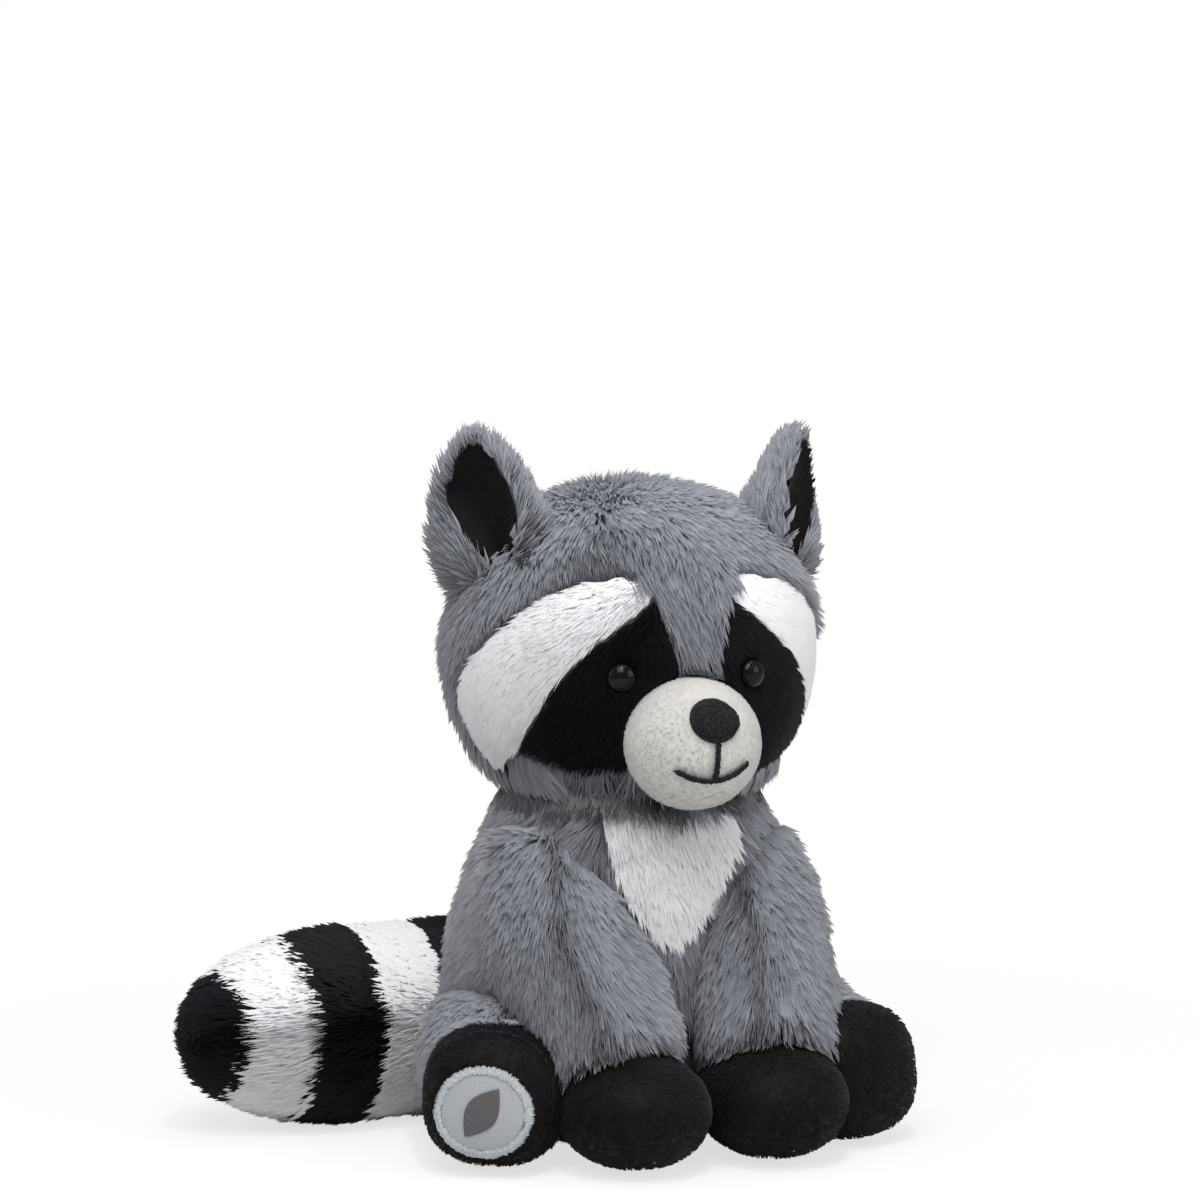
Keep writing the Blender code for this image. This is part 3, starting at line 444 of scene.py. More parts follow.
def with_pile(piece, pile):
    """Gives a panel its backing's thickness, then its pile, as one mesh. OFBake holds shade and height."""
    left, right, middle, tip, side, normal, high, shade = combed(piece, pile)
    wall = piece.modifiers.new("backing", "SOLIDIFY")
    wall.thickness = backing
    wall.offset = -1
    bpy.context.view_layer.objects.active = piece
    bpy.ops.object.modifier_apply(modifier=wall.name)
    cloth = piece.data
    cloth_places = get_points(piece)
    cloth_loops = np.empty(len(cloth.loops), np.int32)
    cloth.loops.foreach_get("vertex_index", cloth_loops)
    starts = np.empty(len(cloth.polygons), np.int32)
    cloth.polygons.foreach_get("loop_start", starts)
    cloth_count = len(cloth_places)
    count = len(tip)
    hair_places = np.stack((left, right, middle, tip), 1).reshape(-1, 3)
    corner = np.arange(count, dtype=np.int32)[:, None] * 4 + cloth_count
    faces = np.array((0, 1, 2, 0, 2, 3, 2, 1, 3, 1, 0, 3), np.int32)
    hair_loops = (corner + faces).ravel()
    loops = np.concatenate((cloth_loops, hair_loops))
    starts = np.concatenate((starts, len(cloth_loops) + np.arange(count * 4, dtype=np.int32) * 3))
    mesh = bpy.data.meshes.new(piece.name)
    mesh.vertices.add(cloth_count + len(hair_places))
    mesh.loops.add(len(loops))
    mesh.polygons.add(len(starts))
    mesh.vertices.foreach_set("co", np.vstack((cloth_places, hair_places)).astype(np.float32).ravel())
    mesh.loops.foreach_set("vertex_index", loops)
    mesh.polygons.foreach_set("loop_start", starts)
    mesh.update(calc_edges=True)
    mesh.polygons.foreach_set("use_smooth", np.ones(len(starts), bool))
    height = np.tile((0.0, 0.0, 0.5, 1.0), count)
    across = np.repeat(0.01 + shade * 0.97, 4) + np.tile((0.0, 0.01, 0.005, 0.005), count)
    map_points = np.vstack((np.zeros((cloth_count, 2)), np.column_stack((across, height))))
    spots = map_points[loops]
    # the backing cloth takes the root's colour, so it shows as painted shade between the locks
    flat_corners = np.arange(len(cloth_loops))
    spots[:len(cloth_loops), 0] = 0.5 + 0.01 * (flat_corners % 2)
    spots[:len(cloth_loops), 1] = 0.01 * (flat_corners % 4 // 2)
    layer = mesh.uv_layers.new(name="OFBake")
    layer.data.foreach_set("uv", spots.astype(np.float32).ravel())
    aside = side * pile.tilt
    ahead = high * pile.tilt
    round_normals = np.stack((normal - aside, normal + aside, normal + ahead * 0.5, normal + ahead), 1)
    normals = np.vstack((get_normals(cloth), unit_length(round_normals.reshape(-1, 3))))
    mesh.normals_split_custom_set_from_vertices(normals)
    piece.data = mesh
    bpy.data.meshes.remove(cloth)
    return piece


def pile_finish(name, root, tip, spread, sheen=0.25, roughness=0.75, specular=0.25):
    """Pile coloured from a root darkened with painted shade between the locks to a lighter tip, each lock a
    little lighter or darker than the next.
    """
    made = Finish(name, roughness, Sheen_Weight=sheen, Sheen_Roughness=0.45, Specular_IOR_Level=specular)
    spot = made.node("ShaderNodeUVMap", {"uv_map": "OFBake"}, {})
    across = made.node("ShaderNodeSeparateXYZ", {}, {0: spot}, 0)
    along = made.node("ShaderNodeSeparateXYZ", {}, {0: spot}, 1)
    # the root colour is painted shade: it stands for the shadow deep between the locks
    shaded_root_to_tip = made.mix(along ** 1.1, root, tip)
    streak = made.noise(spot, 60, 1.0)
    tone = (1 - spread) + across * (2 * spread) + (streak - 0.5) * spread
    grey = made.node("ShaderNodeCombineXYZ", {}, {0: tone, 1: tone, 2: tone})
    made.colour(made.mix(1.0, shaded_root_to_tip, grey, "MULTIPLY"))
    return made.material


# The root colours of this pile and the ones below are painted shade between the locks.
grey_plush = pile_finish("grey_plush", (0.130, 0.136, 0.155), (0.285, 0.297, 0.330), 0.32)


def finished(piece, material, node):
    """The piece takes the place of its CAD solid."""
    piece.data.materials.clear()
    piece.data.materials.append(material)
    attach(piece, "root")
    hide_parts(node)


def sewn_on(panel, pile, material, node):
    """A plush panel gets its pile and takes the place of its CAD solid."""
    finished(with_pile(panel, pile), material, node)


def from_crown(places):
    """Combed from the crown outwards, and down where the head turns under."""
    away = unit_length(places - (head_centre + (0, 0.080, 0.105)))
    low = np.clip((head_centre[2] - places[:, 2]) / head_half[2], 0, 1)
    return away - np.column_stack((0 * low, 0 * low, 0.30 + 1.0 * low))


def head_grey(places):
    neck = (np.hypot(places[:, 0], places[:, 1]) < 0.026) & (places[:, 2] < head_centre[2])
    return (depth_in_face(places) < seam_allowance) & ~neck & (above_muzzle(places) > -0.004)


def shaped(name, segments, rings, form):
    """A ball whose points are moved to where the form puts them."""
    piece = unit_ball(name, segments, rings)
    set_points(piece, form(unit_length(get_points(piece))))
    return piece


def head_panel(name, segments, rings, depth, wanted):
    """A panel of the head, with its backing this deep below the combed surface."""
    panel = shaped(name, segments, rings,
                   lambda unit: ball_points(unit, head_centre, head_half, -depth, head_fullness))
    keep_faces(panel, wanted)
    return panel


clear_of_muzzle = (above_muzzle, lambda places: muzzle_centre, 0.0004)
over_body = (above_body, lambda places: body_centre + (0, 0, 0.045), 0.0022)
head = head_panel("head_plush", 96, 48, long_pile_depth, head_grey)
head_pile = Pile(1.5, 0.0142, 0.00042, from_crown, lean=0.70, bend=0.45, clump=0.2,
                 growing=lambda p: (above_body(p) > -0.001) & (depth_in_face(p) < 0)
                 & (above_muzzle(p) > -0.001),
                 kept_off=lambda p: depth_in_face(p) > 1.2, clear_of=(clear_of_muzzle, over_body), seed=3)
sewn_on(head, head_pile, grey_plush, "head_cover")

# Brow panels and eye patches: white and black plush with a shorter pile, cut as long leaf shapes.
# They are sewn into the head cover edge to edge, the black patches round the eyes up to the muzzle.

white_plush = pile_finish("white_plush", (0.86, 0.875, 0.89), (0.94, 0.95, 0.96), 0.04, sheen=0.1)
black_plush = pile_finish("black_plush", (0.002, 0.002, 0.003), (0.009, 0.009, 0.013), 0.6, sheen=0.04,
                          roughness=0.6, specular=0.12)
eye_radius = 0.0055
eye_dome = 0.0042
eye_sink = 0.0015            # rim of the dome below the surface of the pile
eye_angles = (24.5, -4.0)    # degrees out from straight ahead and up, seen from the head's centre


def eye_place(side):
    """Where an eye stands on the head, its axis along local Z."""
    out, up = (math.radians(angle) for angle in eye_angles)
    direction = np.array((side * math.sin(out) * math.cos(up), -math.cos(out) * math.cos(up), math.sin(up)))
    point = direction / np.linalg.norm(direction / head_half)
    normal = Vector(point / head_half ** 2).normalized()
    return Matrix.Translation(head_centre + point) @ normal.to_track_quat("Z", "Y").to_matrix().to_4x4()


def over_face(places):
    """The face panels are combed outwards and down, away from the nose."""
    return unit_length(places - (head_centre + (0, -0.05, 0.045))) + (0, 0.3, -0.2)


def face_panel(name, outline, side):
    """A face panel is cut 0.6 degrees past its outline, so that no gap shows at a seam."""
    return head_panel(name + "_plush", 180, 84, face_pile_depth,
                      lambda p: (depth_in_panel(p, outline, side) > -0.6) & (above_muzzle(p) > -0.003))


for side_name, side in sides:
    brow = face_panel("brow_" + side_name, brow_outline, side)
    brow_pile = Pile(2.2, 0.0064, 0.00050, over_face, tilt=0.2, lean=0.66, clump=0.12, ragged=0.2,
                     clear_of=(over_body,),
                     kept_off=lambda p: depth_in_panel(p, patch_outline) > 1.0, seed=11 + side)
    sewn_on(brow, brow_pile, white_plush, "brow_" + side_name)
    patch = face_panel("eye_patch_" + side_name, patch_outline, side)
    eye_middle = np.array(eye_place(side).translation)
    patch_pile = Pile(2.0, 0.0056, 0.00042, over_face,
                      growing=lambda p: np.linalg.norm(p - eye_middle, axis=1) > eye_radius + 0.0006,
                      kept_off=lambda p: (np.linalg.norm(p - eye_middle, axis=1) < eye_radius - 0.0002)
                      | (depth_in_face(p) < -1.5), clear_of=(clear_of_muzzle,), seed=21 + side)
    sewn_on(patch, patch_pile, black_plush, "eye_patch_" + side_name)

# Muzzle: a round stuffed snout in smooth cream cloth with a very short pile, gathered into the face.

cream_velboa = pile_finish("cream_velboa", (0.485, 0.470, 0.442), (0.515, 0.500, 0.468), 0.03, sheen=0.1,
                           roughness=0.85)
muzzle = shaped("muzzle_cloth", 72, 44, lambda unit: ball_points(unit, muzzle_centre, muzzle_half, -0.0009))
keep_faces(muzzle, lambda places: above_head(places) > -0.0055)


def down_the_snout(places):
    return places - (muzzle_centre + (0, -0.04, 0.03))


muzzle_pile = Pile(1.2, 0.0013, 0.00045, down_the_snout, lean=0.80, clump=0.1, tilt=0.09,
                   growing=lambda p: above_head(p) > -0.004, seed=31)
sewn_on(muzzle, muzzle_pile, cream_velboa, "muzzle_cover")

# Nose and mouth: satin stitch in black thread, worked straight into the muzzle's cloth.
# The nose is an oval of upright stitches over a raised pad, the mouth a run of short slanting stitches.

nose_half = (0.009, 0.0076)
nose_lift = 0.010            # above the middle of the muzzle
nose_thread, mouth_thread, stitch_step = 0.00042, 0.00036, 0.00055
nose_height, mouth_height = 0.0013, 0.0010
stitch_width = 0.0023
mouth_drop = 0.011
mouth_half_width = 0.0135
smile_rise = 0.0050
smile_tilt = math.radians(4)


def thread_finish(name, dark, light, roughness, sheen, specular=0.3):
    """Lustrous embroidery thread, a little uneven from stitch to stitch, with the twist as fine relief."""
    made = Finish(name, roughness, Sheen_Weight=sheen, Specular_IOR_Level=specular)
    place = made.place()
    speck = made.node("ShaderNodeMapRange", {},
                      {"Value": made.noise(place, 1500, 1.0), "From Min": 0.42, "From Max": 0.66})
    made.colour(made.mix(speck, dark, light))
    made.bump(made.noise(place, 4000, 1.0), 0.0002, 0.6)
    return made.material


def on_muzzle(across, up, lift):
    """Places on the front of the muzzle, lifted off its surface."""
    half = muzzle_half + np.broadcast_to(lift, np.shape(across))[:, None]
    deep = np.sqrt(np.maximum(1 - (across / half[:, 0]) ** 2 - (up / half[:, 2]) ** 2, 0))
    return muzzle_centre + np.column_stack((across, -half[:, 1] * deep, up))


def pad(name, half_width, half_height, surface, low, thickness, steep, middle=(0, 0), turn=0.0, leaf=False):
    """A closed pad on a surface, oval or leaf-shaped: domed where steep is 1, else flat with round edges."""
    piece = unit_ball(name, 56, 28)
    unit = get_points(piece)
    ring = np.maximum(np.hypot(unit[:, 0], unit[:, 1]), 1e-6)
    width = np.sin(math.pi * (unit[:, 2] + 1) / 2) if leaf else np.sqrt(np.maximum(1 - unit[:, 2] ** 2, 0))
    x = unit[:, 0] / ring * width * half_width
    z = unit[:, 2] * half_height
    high = np.clip(-unit[:, 1] / ring * steep, 0, 1) * np.minimum(width * steep, 1)
    across = x * math.cos(turn) + z * math.sin(turn) + middle[0]
    up = z * math.cos(turn) - x * math.sin(turn) + middle[1]
    set_points(piece, surface(across, up, low + thickness * np.sqrt(high)))
    return piece


def made_of(name, places, faces):
    mesh = bpy.data.meshes.new(name)
    mesh.from_pydata(places, [], faces)
    mesh.polygons.foreach_set("use_smooth", np.ones(len(faces), bool))
    piece = bpy.data.objects.new(name, mesh)
    bpy.context.collection.objects.link(piece)
    return piece


def threads(name, lines, radius, corners=5):
    """Round threads along lines over a front-facing surface, pointed at both ends, as one mesh."""
    places, faces = [], []
    for line in lines:
        along = unit_length(np.gradient(line, axis=0))[1:-1]
        side = unit_length(np.cross(along, (0, -1, 0)))
        up = np.cross(along, side)
        first = sum(len(part) for part in places)
        turn = np.arange(corners) * 2 * math.pi / corners
        rings = (line[1:-1, None] + side[:, None] * np.cos(turn)[None, :, None] * radius
                 + up[:, None] * np.sin(turn)[None, :, None] * radius)
        places.append(np.vstack((rings.reshape(-1, 3), line[:1], line[-1:])))
        count = len(rings)
        start, end = first + count * corners, first + count * corners + 1
        for i in range(corners):
            j = (i + 1) % corners
            faces.append((start, first + j, first + i))
            faces.append((end, first + (count - 1) * corners + i, first + (count - 1) * corners + j))
            for k in range(count - 1):
                low, high = first + k * corners, first + (k + 1) * corners
                faces.append((low + i, low + j, high + j, high + i))
    return made_of(name, np.vstack(places).tolist(), faces)


def joined(*pieces):
    bpy.ops.object.select_all(action="DESELECT")
    for piece in pieces:
        for face in piece.data.polygons:
            face.use_smooth = True
        piece.select_set(True)
    bpy.context.view_layer.objects.active = pieces[0]
    bpy.ops.object.join()
    return pieces[0]


def stitch(surface, x0, z0, x1, z1, height, low=-0.0006):
    """One satin stitch from edge to edge, arched over its padding."""
    share = np.linspace(0, 1, 7)
    arch = np.sqrt(np.maximum(1 - (2 * share - 1) ** 4, 0))
    return surface(x0 + (x1 - x0) * share, z0 + (z1 - z0) * share, low + (height - low) * arch)


def satin_run(surface, path, width, height, spacing, slant, rng):
    """Short stitches side by side along a path of (across, up) points, each slanted across it."""
    path = np.array(path)
    far = np.concatenate(((0,), np.cumsum(np.linalg.norm(np.diff(path, axis=0), axis=1))))
    stitches = []
    for distance in np.arange(spacing / 2, far[-1], spacing):
        x, z = (np.interp(distance, far, path[:, k]) for k in (0, 1))
        ahead = np.array([np.interp(distance + spacing, far, path[:, k])
                          - np.interp(distance - spacing, far, path[:, k]) for k in (0, 1)])
        ahead /= np.hypot(*ahead)
        cross = np.array((-ahead[1], ahead[0])) * math.cos(slant) + ahead * math.sin(slant)
        reach = cross * width / 2
        near, past = 1 + rng.uniform(-0.28, 0.28, 2)
        stitches.append(stitch(surface, x - reach[0] * near, z - reach[1] * near, x + reach[0] * past,
                               z + reach[1] * past, height))
    return stitches


black_thread = thread_finish("black_thread", (0.004, 0.004, 0.004), (0.022, 0.022, 0.024), 0.55, 0.03, 0.09)
rng = np.random.default_rng(36)
columns = []
for x in np.linspace(-0.96, 0.96, 28):
    reach = math.sqrt(1 - x * x) * nose_half[1]
    low, high = rng.uniform(0.0, 0.0007, 2)
    columns.append(stitch(on_muzzle, x * nose_half[0], nose_lift - reach - low, x * nose_half[0] + 0.0002,
                          nose_lift + reach + high, nose_height * (0.65 + 0.35 * math.sqrt(1 - x * x))))
nose = joined(threads("nose_stitches", columns, nose_thread),
              pad("nose_pad", *nose_half, on_muzzle, -0.0006, nose_height + 0.0004, 1.0, (0, nose_lift)))
finished(nose, black_thread, "nose")

smile_radius = (mouth_half_width ** 2 + smile_rise ** 2) / (2 * smile_rise)
smile = []
for t in np.linspace(-1, 1, 25) * math.asin(mouth_half_width / smile_radius):
    x, z = smile_radius * math.sin(t), smile_radius * (1 - math.cos(t))
    smile.append((x * math.cos(smile_tilt) - z * math.sin(smile_tilt) - 0.0004,
                  z * math.cos(smile_tilt) + x * math.sin(smile_tilt) - mouth_drop))
stem = [(0, nose_lift - nose_half[1] + 0.0003), (-0.0004, -mouth_drop)]
lines = [line for path in (smile, stem)
         for line in satin_run(on_muzzle, path, stitch_width, mouth_height, stitch_step, 0.6, rng)]
finished(threads("mouth_stitches", lines, mouth_thread), black_thread, "mouth")

# Eyes: domed black plastic with a faint ring, moulded with the shank that the locking washer holds inside.

shank_radius = 0.002
shank_depth = 0.01005        # through the cover and the washer
eye_plastic = Finish("eye_plastic", 0.08, Specular_IOR_Level=0.16)
eye_plastic.colour(eye_plastic.mix(eye_plastic.noise(eye_plastic.place(), 500), (0.002, 0.0018, 0.0018),
                                   (0.003, 0.0027, 0.0027)))
eye_profile = [(shank_radius * 0.8, -shank_depth), (shank_radius, -shank_depth + 0.0004),
               (shank_radius, -eye_sink), (eye_radius * 0.96, -eye_sink), (eye_radius, -eye_sink + 0.0003)]
for angle in np.radians(np.linspace(12, 86, 26)):
    ring = 1 - 0.022 * math.exp(-((math.degrees(angle) - 47) / 3.0) ** 2)
    eye_profile.append((eye_radius * math.cos(angle) * ring, -eye_sink + eye_dome * math.sin(angle) * ring))


def turned(name, profile, place, segments=48):
    """A closed round form: a profile of (radius, height) spun about local Z and put in place."""
    places, faces = [], []
    for radius, height in profile:
        for k in range(segments):
            angle = 2 * math.pi * k / segments
            places.append(place @ Vector((radius * math.cos(angle), radius * math.sin(angle), height)))
    for row in range(len(profile) - 1):
        for k in range(segments):
            here, beside = row * segments + k, row * segments + (k + 1) % segments
            faces.append((here, beside, beside + segments, here + segments))
    low, high = len(places), len(places) + 1
    places += [place @ Vector((0, 0, profile[0][1])), place @ Vector((0, 0, profile[-1][1] + 0.00001))]
    last = (len(profile) - 1) * segments
    for k in range(segments):
        faces.append((low, (k + 1) % segments, k))
        faces.append((high, last + k, last + (k + 1) % segments))
    return made_of(name, places, faces)


for side_name, side in sides:
    finished(turned("eye_" + side_name + "_dome", eye_profile, eye_place(side)), eye_plastic.material,
                "eye_" + side_name)

# Ears: leaf-shaped, a grey long-pile back and a black short-pile lining sewn together round the rim.
# The lining is drawn in, so the ear is cupped, and the seam at its foot is caught in the head's top.

ear_centre = np.array((0.0585, -0.006, 0.2265))
ear_half = np.array((0.0205, 0.012, 0.034))
ear_rim = 0.0042             # width of the grey edge round the lining
ear_cup = 0.0075             # depth of the lining's hollow
ear_taper = 0.38
ear_foot = 0.020             # of the point that the pile fans out from, below the ear's middle
ear_turn = np.array(Euler((0, math.radians(9), 0)).to_matrix() @ Euler((0, 0, math.radians(45))).to_matrix())
black_short = pile_finish("black_short_pile", (0.003, 0.003, 0.0035), (0.008, 0.008, 0.010), 0.35, sheen=0.05,
                          roughness=0.6, specular=0.10)


def ear_cup_share(local):
    """Share of the way from the lining's middle to its edge. The ear's back counts as far outside."""
    low = np.clip((0.012 - local[:, 2]) / 0.026, 0, 1)
    narrow = (1 - ear_taper * np.maximum(local[:, 2] / ear_half[2], -0.2)) * (1 - 0.68 * low ** 1.2)
    across = (local[:, 0] + 0.006 * low) / ((ear_half[0] - ear_rim) * narrow)
    up = local[:, 2] / (ear_half[2] - ear_rim)
    return np.sqrt(across ** 2 + up ** 2) + np.where(local[:, 1] > 0.001, 9, 0)


def ear_points(unit, side, grow):
    local = ball_points(unit, 0, ear_half, grow, 2.15)
    narrow = (1 - ear_taper * np.maximum(unit[:, 2], -0.2))[:, None]
    local[:, :2] *= narrow
    cup = np.clip(1 - ear_cup_share(local) ** 2, 0, 1)
    local[:, 1] += ear_cup * cup ** 0.8
    places = local @ ear_turn.T + ear_centre
    return places * (side, 1, 1), local


for side_name, side in sides:
    centre = ear_centre * (side, 1, 1)

    def fanned(places, middle=centre):
        return places - (middle - (0, 0, ear_foot))

    for kind in ("back", "lining"):
        ear = unit_ball("ear_" + kind + "_" + side_name + "_plush", 64, 48)
        unit = unit_length(get_points(ear))
        places, local = ear_points(unit, side, -0.0030 if kind == "back" else -0.0012)
        set_points(ear, places)
        if side < 0:
            ear.data.flip_normals()
        shares = ear_cup_share(local)
        tree = tree_of(places)

        def share_at(spots):
            return shares[[tree.find(spot)[1] for spot in spots]]

        def of_kind(middles):
            share = share_at(middles)
            return ((share < 1.0) if kind == "lining" else (share > 0.9)) & (above_head(middles) > -0.0075)

        def trimmed(roots):
            """The pile gets shorter up the ear, and the left ear's at its outer edge too."""
            up = np.clip((roots[:, 2] - ear_centre[2]) / ear_half[2], 0, 1)
            out = np.clip((roots[:, 0] - ear_centre[0] - 0.004) / 0.012, 0, 1)
            return (1 - 0.42 * up) * (1 - (0.7 if side > 0 else 0) * out)

        keep_faces(ear, of_kind, 4)
        if kind == "back":
            pile = Pile(1.7, 0.0108, 0.00042, fanned, lean=0.62, swirl=0.25, size_at=trimmed,
                        growing=lambda p: (above_head(p) > -0.004) & (share_at(p) > 0.98), seed=41 + side)
            material, slot = grey_plush, "grey_plush"
        else:
            pile = Pile(1.3, 0.0024, 0.00045, fanned, lean=0.65, clump=0.2, tilt=0.12,
                        growing=lambda p: above_head(p) > -0.004, seed=45 + side)
            material, slot = black_short, "black_short_pile"
        sewn_on(ear, pile, material, "ear_" + kind + "_" + side_name)

# Body: a pear-shaped bag of grey plush, flat where it sits, with a white leaf-shaped bib let into the chest.

limb_rounding = 0.12         # share of a limb's length over which each end rounds off
bib_outline = [(-0.004, 0.078), (0.0035, 0.080), (0.0150, 0.0915), (0.0250, 0.1102), (0.030, 0.171),
               (-0.0235, 0.171), (-0.0230, 0.1102), (-0.0185, 0.0925), (-0.0095, 0.080)]


class Limb:
    """A stuffed tube along a smooth line through (place, radius) knots, its two ends rounded off."""

    def __init__(self, knots, steps=60):
        table = np.array([(*place, radius) for place, radius in knots])
        last = len(table) - 1
        t = np.linspace(0, last, steps)
        i = np.minimum(t.astype(int), last - 1)
        f = (t - i)[:, None]
        a, b = table[np.maximum(i - 1, 0)], table[i]
        c, d = table[i + 1], table[np.minimum(i + 2, last)]
        line = 0.5 * (2 * b + (c - a) * f + (2 * a - 5 * b + 4 * c - d) * f ** 2
                      + (3 * b - a - 3 * c + d) * f ** 3)
        self.line, self.radius = line[:, :3], line[:, 3]
        self.along = unit_length(np.gradient(self.line, axis=0))
        self.side = unit_length(np.cross(self.along, (0, 0, 1)))
        self.up = np.cross(self.side, self.along)

    def nearest(self, places):
        apart = np.linalg.norm(places[:, None] - self.line[None], axis=2)
        return apart, (apart - self.radius).argmin(1)

    def above(self, places):
        apart, index = self.nearest(places)
        return (apart - self.radius).min(1)

    def points(self, unit, grow):
        share = np.arccos(np.clip(-unit[:, 2], -1, 1)) / math.pi
        turn = np.arctan2(unit[:, 1], unit[:, 0])
        spot = share * (len(self.line) - 1)
        low = np.minimum(spot.astype(int), len(self.line) - 2)
        part = (spot - low)[:, None]

        def between(values):
            return values[low] * (1 - part) + values[low + 1] * part

        closing = np.minimum(np.minimum(share, 1 - share) / limb_rounding, 1)
        radius = (between(self.radius[:, None])[:, 0] + grow) * np.sqrt(np.maximum(1 - (1 - closing) ** 2, 0))
        around = between(self.side) * np.cos(turn)[:, None] - between(self.up) * np.sin(turn)[:, None]
        return between(self.line) + around * radius[:, None]


def pressed_on_floor(places, least=0.0012):
    places[:, 2] = np.maximum(places[:, 2], least)
    return places


def arm_line(side):
    """The left arm hangs a little nearer the middle than the right."""
    inward = 0.0035 if side > 0 else 0
    return Limb([((side * 0.036 - inward, -0.008, 0.109), 0.020),
                 ((side * 0.0375 - inward, -0.027, 0.077), 0.027), ((side * 0.029, -0.060, 0.034), 0.0235)])


hand_centre = np.array((0.0264, -0.0695, 0.0206))
hand_half = np.array((0.0272, 0.0312, 0.0208))
hand_fullness = 2.15
seam_tuck = 0.0015           # how far one black panel reaches in under the other at their seam
foot_half = np.array((0.0262, 0.0258, 0.0235))
foot_spread = {1: 18, -1: 24}    # degrees out from straight ahead
hip_place = np.array((0.040, 0.020, 0.038))
leg_length = 0.076


def foot_middle(side):
    spread = math.radians(foot_spread[side])
    return np.array((side * (hip_place[0] + math.sin(spread) * leg_length),
                     hip_place[1] - math.cos(spread) * leg_length, 0.0255))


def leg_line(side):
    hip = hip_place * (side, 1, 1)
    ankle = foot_middle(side)
    thigh = hip + (ankle - hip) * 0.42
    thigh[2] = 0.0318
    return Limb([(hip, 0.022), (thigh, 0.0315), (ankle, 0.0235)])


arms = {side: arm_line(side) for side in (1, -1)}
legs = {side: leg_line(side) for side in (1, -1)}


def body_points(unit, grow):
    reach = (np.abs(unit) ** body_fullness).sum(1) ** (-1 / body_fullness)
    unit = unit * reach[:, None]
    share = np.clip(unit[:, 2] * body_half[2] / (head_centre[2] - head_half[2] - body_centre[2]), -0.4, 1.4)
    places = body_centre + unit * (body_half + grow)
    places[:, :2] += unit[:, :2] * (body_shoulder - body_half[:2]) * share[:, None]
    return pressed_on_floor(places)


def depth_in_bib(places):
    depth = depth_inside(bib_outline, places[:, 0], places[:, 2])
    return np.where(places[:, 1] < 0, depth, -1)


def open_body(places):
    """Where the body isn't pressed against the head, an arm or a leg."""
    limbs = (*arms.values(), *legs.values())
    return (above_head(places) > -0.003) & np.all([limb.above(places) > -0.009 for limb in limbs], 0)


def body_panel(name, segments, rings, wanted):
    panel = shaped(name, segments, rings, lambda unit: body_points(unit, -long_pile_depth))
    keep_faces(panel, wanted)
    return panel


def body_fall(places):
    """The coat hangs down and is combed to the sides and back."""
    sideways = np.sign(places[:, 0]) * np.minimum(np.abs(places[:, 0]) / 0.03, 1)
    return np.column_stack((0.35 * sideways, np.full(len(places), 0.35), np.full(len(places), -1.0)))


def between_arms(places):
    """Deep in the cleft under the bib, where the arms' coats close over the body's."""
    return (np.abs(places[:, 0]) < 0.018) & (places[:, 1] < 0) & (places[:, 2] < 0.050)


under_head = (above_head, lambda places: head_centre, 0.0006)
body = body_panel("body_plush", 84, 48, lambda p: (depth_in_bib(p) < 0.003) & (above_head(p) > -0.009))
body_pile = Pile(1.25, 0.0130, 0.00042, body_fall, lean=0.60,
                 growing=lambda p: open_body(p) & (p[:, 2] > 0.003) & (depth_in_bib(p) < 0)
                 & ~between_arms(p),
                 kept_off=lambda p: depth_in_bib(p) > 0.0015, clear_of=(under_head,), seed=51)
sewn_on(body, body_pile, grey_plush, "body_cover")

bib = body_panel("bib_plush", 160, 96, lambda p: (depth_in_bib(p) > -0.0006) & (above_head(p) > -0.009))
set_points(bib, get_points(bib) + (0, -0.0008, 0))
bib_pile = Pile(2.4, 0.0110, 0.00042, lambda p: np.tile((0, 0, -1.0), (len(p), 1)), lean=0.66, swirl=0.14,
                growing=lambda p: above_head(p) > 0.001, clear_of=(under_head,), seed=52)
sewn_on(bib, bib_pile, white_plush, "bib")

# Arms: stuffed sleeves of grey plush that hang forward from the shoulders, combed towards the hands.
# The hands are two panels of smooth black short pile each, an upper and a sole, sewn edge to edge.


def hand_points(unit, side, grow):
    places = ball_points(unit, hand_centre, hand_half, grow, hand_fullness)
    places[:, 0] = np.maximum(places[:, 0], 0.0003)
    return pressed_on_floor(places, 0.0006) * (side, 1, 1)


def hand_seam(places):
    """Height of the seam round a hand, a little higher towards the toy's left."""
    return 0.0145 + 0.12 * (places[:, 0] - np.sign(places[:, 0]) * hand_centre[0])


def above_hand(places, side):
    return above_ball(places * (side, 1, 1), hand_centre, hand_half, hand_fullness)


def short_piled(panel, wanted, flow, growing, seed, node):
    """A hand's or a foot's panel gets its outline and a short black pile, and takes its CAD solid's place."""
    keep_faces(panel, wanted, 2)
    pile = Pile(0.8, 0.0019, 0.0005, flow, lean=0.62, clump=0.15, growing=growing, tilt=0.12, seed=seed)
    sewn_on(panel, pile, black_short, node)


